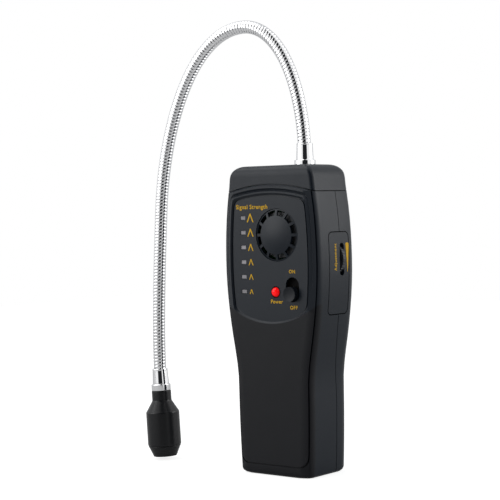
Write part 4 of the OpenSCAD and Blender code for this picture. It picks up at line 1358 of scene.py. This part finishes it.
@dataclass
class SensorHead:
    """The head at the neck's end: a ferrule, a bottle-shaped barrel and a stepped tip."""

    neck: Neck
    collar_down: float = 12.2
    cone_down: float = 18.0
    barrel_down: float = 24.0
    tip_down: float = 43.2
    collar_r: float = 5.4
    wire_r: float = 2.2
    plug_r: float = 3.3
    throat_r: float = 3.5
    barrel_r: float = 9.35
    bore_r: float = 7.75
    tip_r: float = 6.2
    seat_r: float = 5.95
    gas_r: float = 4.2
    steps: int = 6

    def top(self) -> tuple[Points, Points]:
        """Where the head hangs from.

        Returns:
            The middle of its ferrule's mouth, and the direction down the head.
        """
        lean, yaw = math.radians(self.neck.head_lean), math.radians(self.neck.turn)
        reach, height = self.neck.controls[-1][-1]
        rise = self.neck.sleeve - self.neck.held
        mouth = self.neck.place(np.array([reach + rise * math.sin(lean), height + rise * math.cos(lean)]))
        level = np.array([-math.cos(yaw), -math.sin(yaw), 0.0])
        return mouth, -math.sin(lean) * level - np.array([0.0, 0.0, math.cos(lean)])

    def ferrule(self) -> list[list[float]]:
        """The sleeve that holds the neck's end, with a bead at its mouth, a flange and a plug below it.

        Returns:
            Its outline.
        """
        r, sleeve = self.neck.radius + self.neck.fit, self.neck.sleeve
        collar, plug = self.collar_down, self.cone_down - 1.0
        return [
            [r, 0.0], [r + 0.5, 0.0], [r + 0.7, 0.4], [r + 0.6, 0.8], [r + 0.95, sleeve - 0.6],
            [r + 0.95, sleeve], [self.collar_r, sleeve], [self.collar_r, collar], [self.plug_r, collar],
            [self.plug_r, plug], [self.wire_r, plug], [self.wire_r, sleeve - 1.0], [r, sleeve - 1.0],
        ]

    def shell(self) -> list[list[float]]:
        """The barrel: a neck, a cone with a soft shoulder, a straight side with a fine step, and the bore.

        Returns:
            Its outline.
        """
        top, cone, barrel, tip = self.collar_down + 0.1, self.cone_down, self.barrel_down, self.tip_down
        neck, side, lip = self.collar_r + 0.05, self.barrel_r, self.barrel_r - 0.25
        return [
            [self.throat_r, top], [neck, top], [neck, cone], [side - 0.5, barrel - 0.4],
            [side, barrel + 0.3], [side, tip - 0.5], [lip, tip - 0.35], [lip, tip], [self.bore_r, tip],
            [self.bore_r, barrel + 1.5], [self.throat_r, cone + 1.6],
        ]

    def tip(self) -> list[list[float]]:
        """The end piece: a plug in the barrel's bore, a flange, steps that draw in, and the gas opening.

        Returns:
            Its outline.
        """
        top, plug, flange = self.tip_down, self.bore_r - 0.6, self.barrel_r - 0.3
        first, end = top + 0.6, self.neck.head_length
        fall, run = (self.barrel_r - self.tip_r) / 4, (end - first) / self.steps
        i = np.arange(self.steps)
        upper = np.column_stack([self.barrel_r - (0.5 * i + 0.8) * fall, first + i * run])
        lower = np.column_stack([self.barrel_r - (0.5 * i + 1.05) * fall, first + (i + 1) * run])
        return [
            [self.seat_r, top - 4.0], [plug, top - 4.0], [plug, top + 0.1], [flange, top + 0.1],
            [flange, first], *np.stack([upper, lower], axis=1).reshape(-1, 2).tolist(),
            [self.gas_r, end], [self.gas_r, end - 1.2], [self.seat_r, end - 3.0],
        ]

    def build(self) -> list[bpy.types.Object]:
        """Turns the three outer pieces about the head's axis.

        Returns:
            The new pieces.
        """
        parts = [
            ("upper_ferrule", self.ferrule(), 0.3, Palette.FERRULE, "chrome"),
            ("sensor_housing", self.shell(), 0.5, Palette.HEAD, "head_plastic"),
            ("sensor_tip", self.tip(), 0.25, Palette.HEAD, "head_plastic"),
        ]
        return [self.part(*row) for row in parts]

    def part(
        self, node: str, outline: list[list[float]], ease: float, finish: Palette, slot: str
    ) -> bpy.types.Object:
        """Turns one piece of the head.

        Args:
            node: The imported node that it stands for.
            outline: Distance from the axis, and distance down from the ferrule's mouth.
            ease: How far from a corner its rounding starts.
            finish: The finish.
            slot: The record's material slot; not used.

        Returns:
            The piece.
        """
        mouth, down = self.top()
        piece = turned(f"{node}_skin", eased(np.array(outline), ease), mouth, down)
        finish.on(piece)
        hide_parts(node)
        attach(piece, "head")
        return piece


@dataclass
class Softbox:
    """A large soft lamp."""

    name: str
    place: tuple[float, float, float]
    size: Pair
    power: float

    def build(self, aim: Vector) -> bpy.types.Object:
        """Hangs the lamp.

        Args:
            aim: What it points at, in metres.

        Returns:
            The lamp.
        """
        lamp = bpy.data.lights.new(self.name, "AREA")
        lamp.shape, lamp.size, lamp.size_y, lamp.energy = "RECTANGLE", *self.size, self.power
        holder = linked(self.name, lamp)
        holder.location = self.place
        holder.rotation_euler = (aim - Vector(self.place)).to_track_quat("-Z", "Y").to_euler()
        return holder


@dataclass
class Studio:
    """The pale floor, the soft lamps, the surrounding light and the camera."""

    eye: tuple[float, float, float] = (488.94, -628.30, 142.34)
    right: tuple[float, float, float] = (0.78919, 0.61377, -0.02176)
    up: tuple[float, float, float] = (0.00886, 0.02406, 0.99967)
    back: tuple[float, float, float] = (0.61409, -0.78912, 0.01355)
    lens: float = 107.65
    shift: Pair = (-0.0775, -0.0507)
    floor_half: float = 1200.0
    white: Colour = (1.0, 1.0, 1.0)
    tent: Colour = (0.5, 0.505, 0.515)
    behind: Pair = (0.5, 0.95)
    behind_tone: Colour = (0.55, 0.56, 0.58)
    slit: Pair = (0.84, 0.9)
    slit_tone: Colour = (0.015, 0.016, 0.018)
    aim: tuple[float, float, float] = (-0.02, 0.0, 0.11)
    lamps: list[Softbox] = field(default_factory=lambda: [
        Softbox("left", (-0.8, -0.95, 0.5), (0.8, 0.8), 4.6),
        Softbox("right", (0.9, 0.75, 0.5), (0.6, 0.8), 5.0),
        Softbox("top", (-0.5, -0.15, 1.05), (0.9, 0.9), 4.0),
    ])

    def build(self) -> None:
        """Sets up the camera, floor, lamps and surroundings."""
        self.camera()
        half = self.floor_half
        corners = np.array([[-half, -half, 0.0], [half, -half, 0.0], [half, half, 0.0], [-half, half, 0.0]])
        floor = piece_from("floor", corners, [[0, 1, 2, 3]])
        Palette.FLOOR.on(floor)
        for lamp in self.lamps:
            lamp.build(Vector(self.aim))
        self.surroundings()
        bpy.context.scene.view_settings.view_transform = "Standard"

    def camera(self) -> None:
        """Puts the camera where the photograph was taken from."""
        data = bpy.data.cameras.new("camera")
        data.lens, data.sensor_width = self.lens, 36.0
        data.shift_x, data.shift_y = self.shift
        data.clip_start, data.clip_end = 0.01, 100.0
        camera = linked("camera", data)
        turn = Matrix((self.right, self.up, self.back)).transposed().to_4x4()
        camera.matrix_world = Matrix.Translation(Vector(self.eye) * MM) @ turn
        bpy.context.scene.camera = camera

    def surroundings(self) -> None:
        """A light tent, white to the camera; mirrors show it paler, with a dark slit for the camera."""
        world = bpy.data.worlds.new("studio")
        bpy.context.scene.world = world
        world.use_nodes = True
        graph = Graph(world.node_tree)
        way = graph.wire("ShaderNodeTexCoord", output="Generated")
        level = graph.wire("ShaderNodeVectorMath", {"operation": "MULTIPLY"}, {0: way, 1: (1.0, 1.0, 0.0)})
        level = graph.wire("ShaderNodeVectorMath", {"operation": "NORMALIZE"}, {0: level})
        front = Vector((*self.back[:2], 0.0)).normalized()
        sockets = {0: level, 1: front}
        toward = graph.wire("ShaderNodeVectorMath", {"operation": "DOT_PRODUCT"}, sockets, "Value")
        pale = graph.mix((0.0 - toward).step(*self.behind), self.white, self.behind_tone)
        mirrored = graph.mix(toward.step(*self.slit), pale, self.slit_tone)
        seen = graph.ray("Camera").maximum(graph.ray("Transmission"))
        colour = graph.mix(seen, graph.mix(graph.ray("Glossy"), self.tent, mirrored), self.white)
        light = graph.wire("ShaderNodeBackground", sockets={"Color": colour, "Strength": 1.0})
        graph.node("ShaderNodeOutputWorld", sockets={"Surface": light})


def main() -> None:
    """Builds the sub-assemblies in order and logs each new piece's face count."""
    logging.basicConfig(level=logging.INFO, format="%(message)s")
    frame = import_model()
    Studio().build()
    nodes = frame["nodes"]
    neck = Neck()
    for part in (Housing(nodes), Controls(nodes), Inside(nodes), neck, SensorHead(neck)):
        for piece in part.build():
            LOG.info("%s: %s, %d faces", type(part).__name__, piece.name, len(piece.data.polygons))


if __name__ == "__main__":
    main()
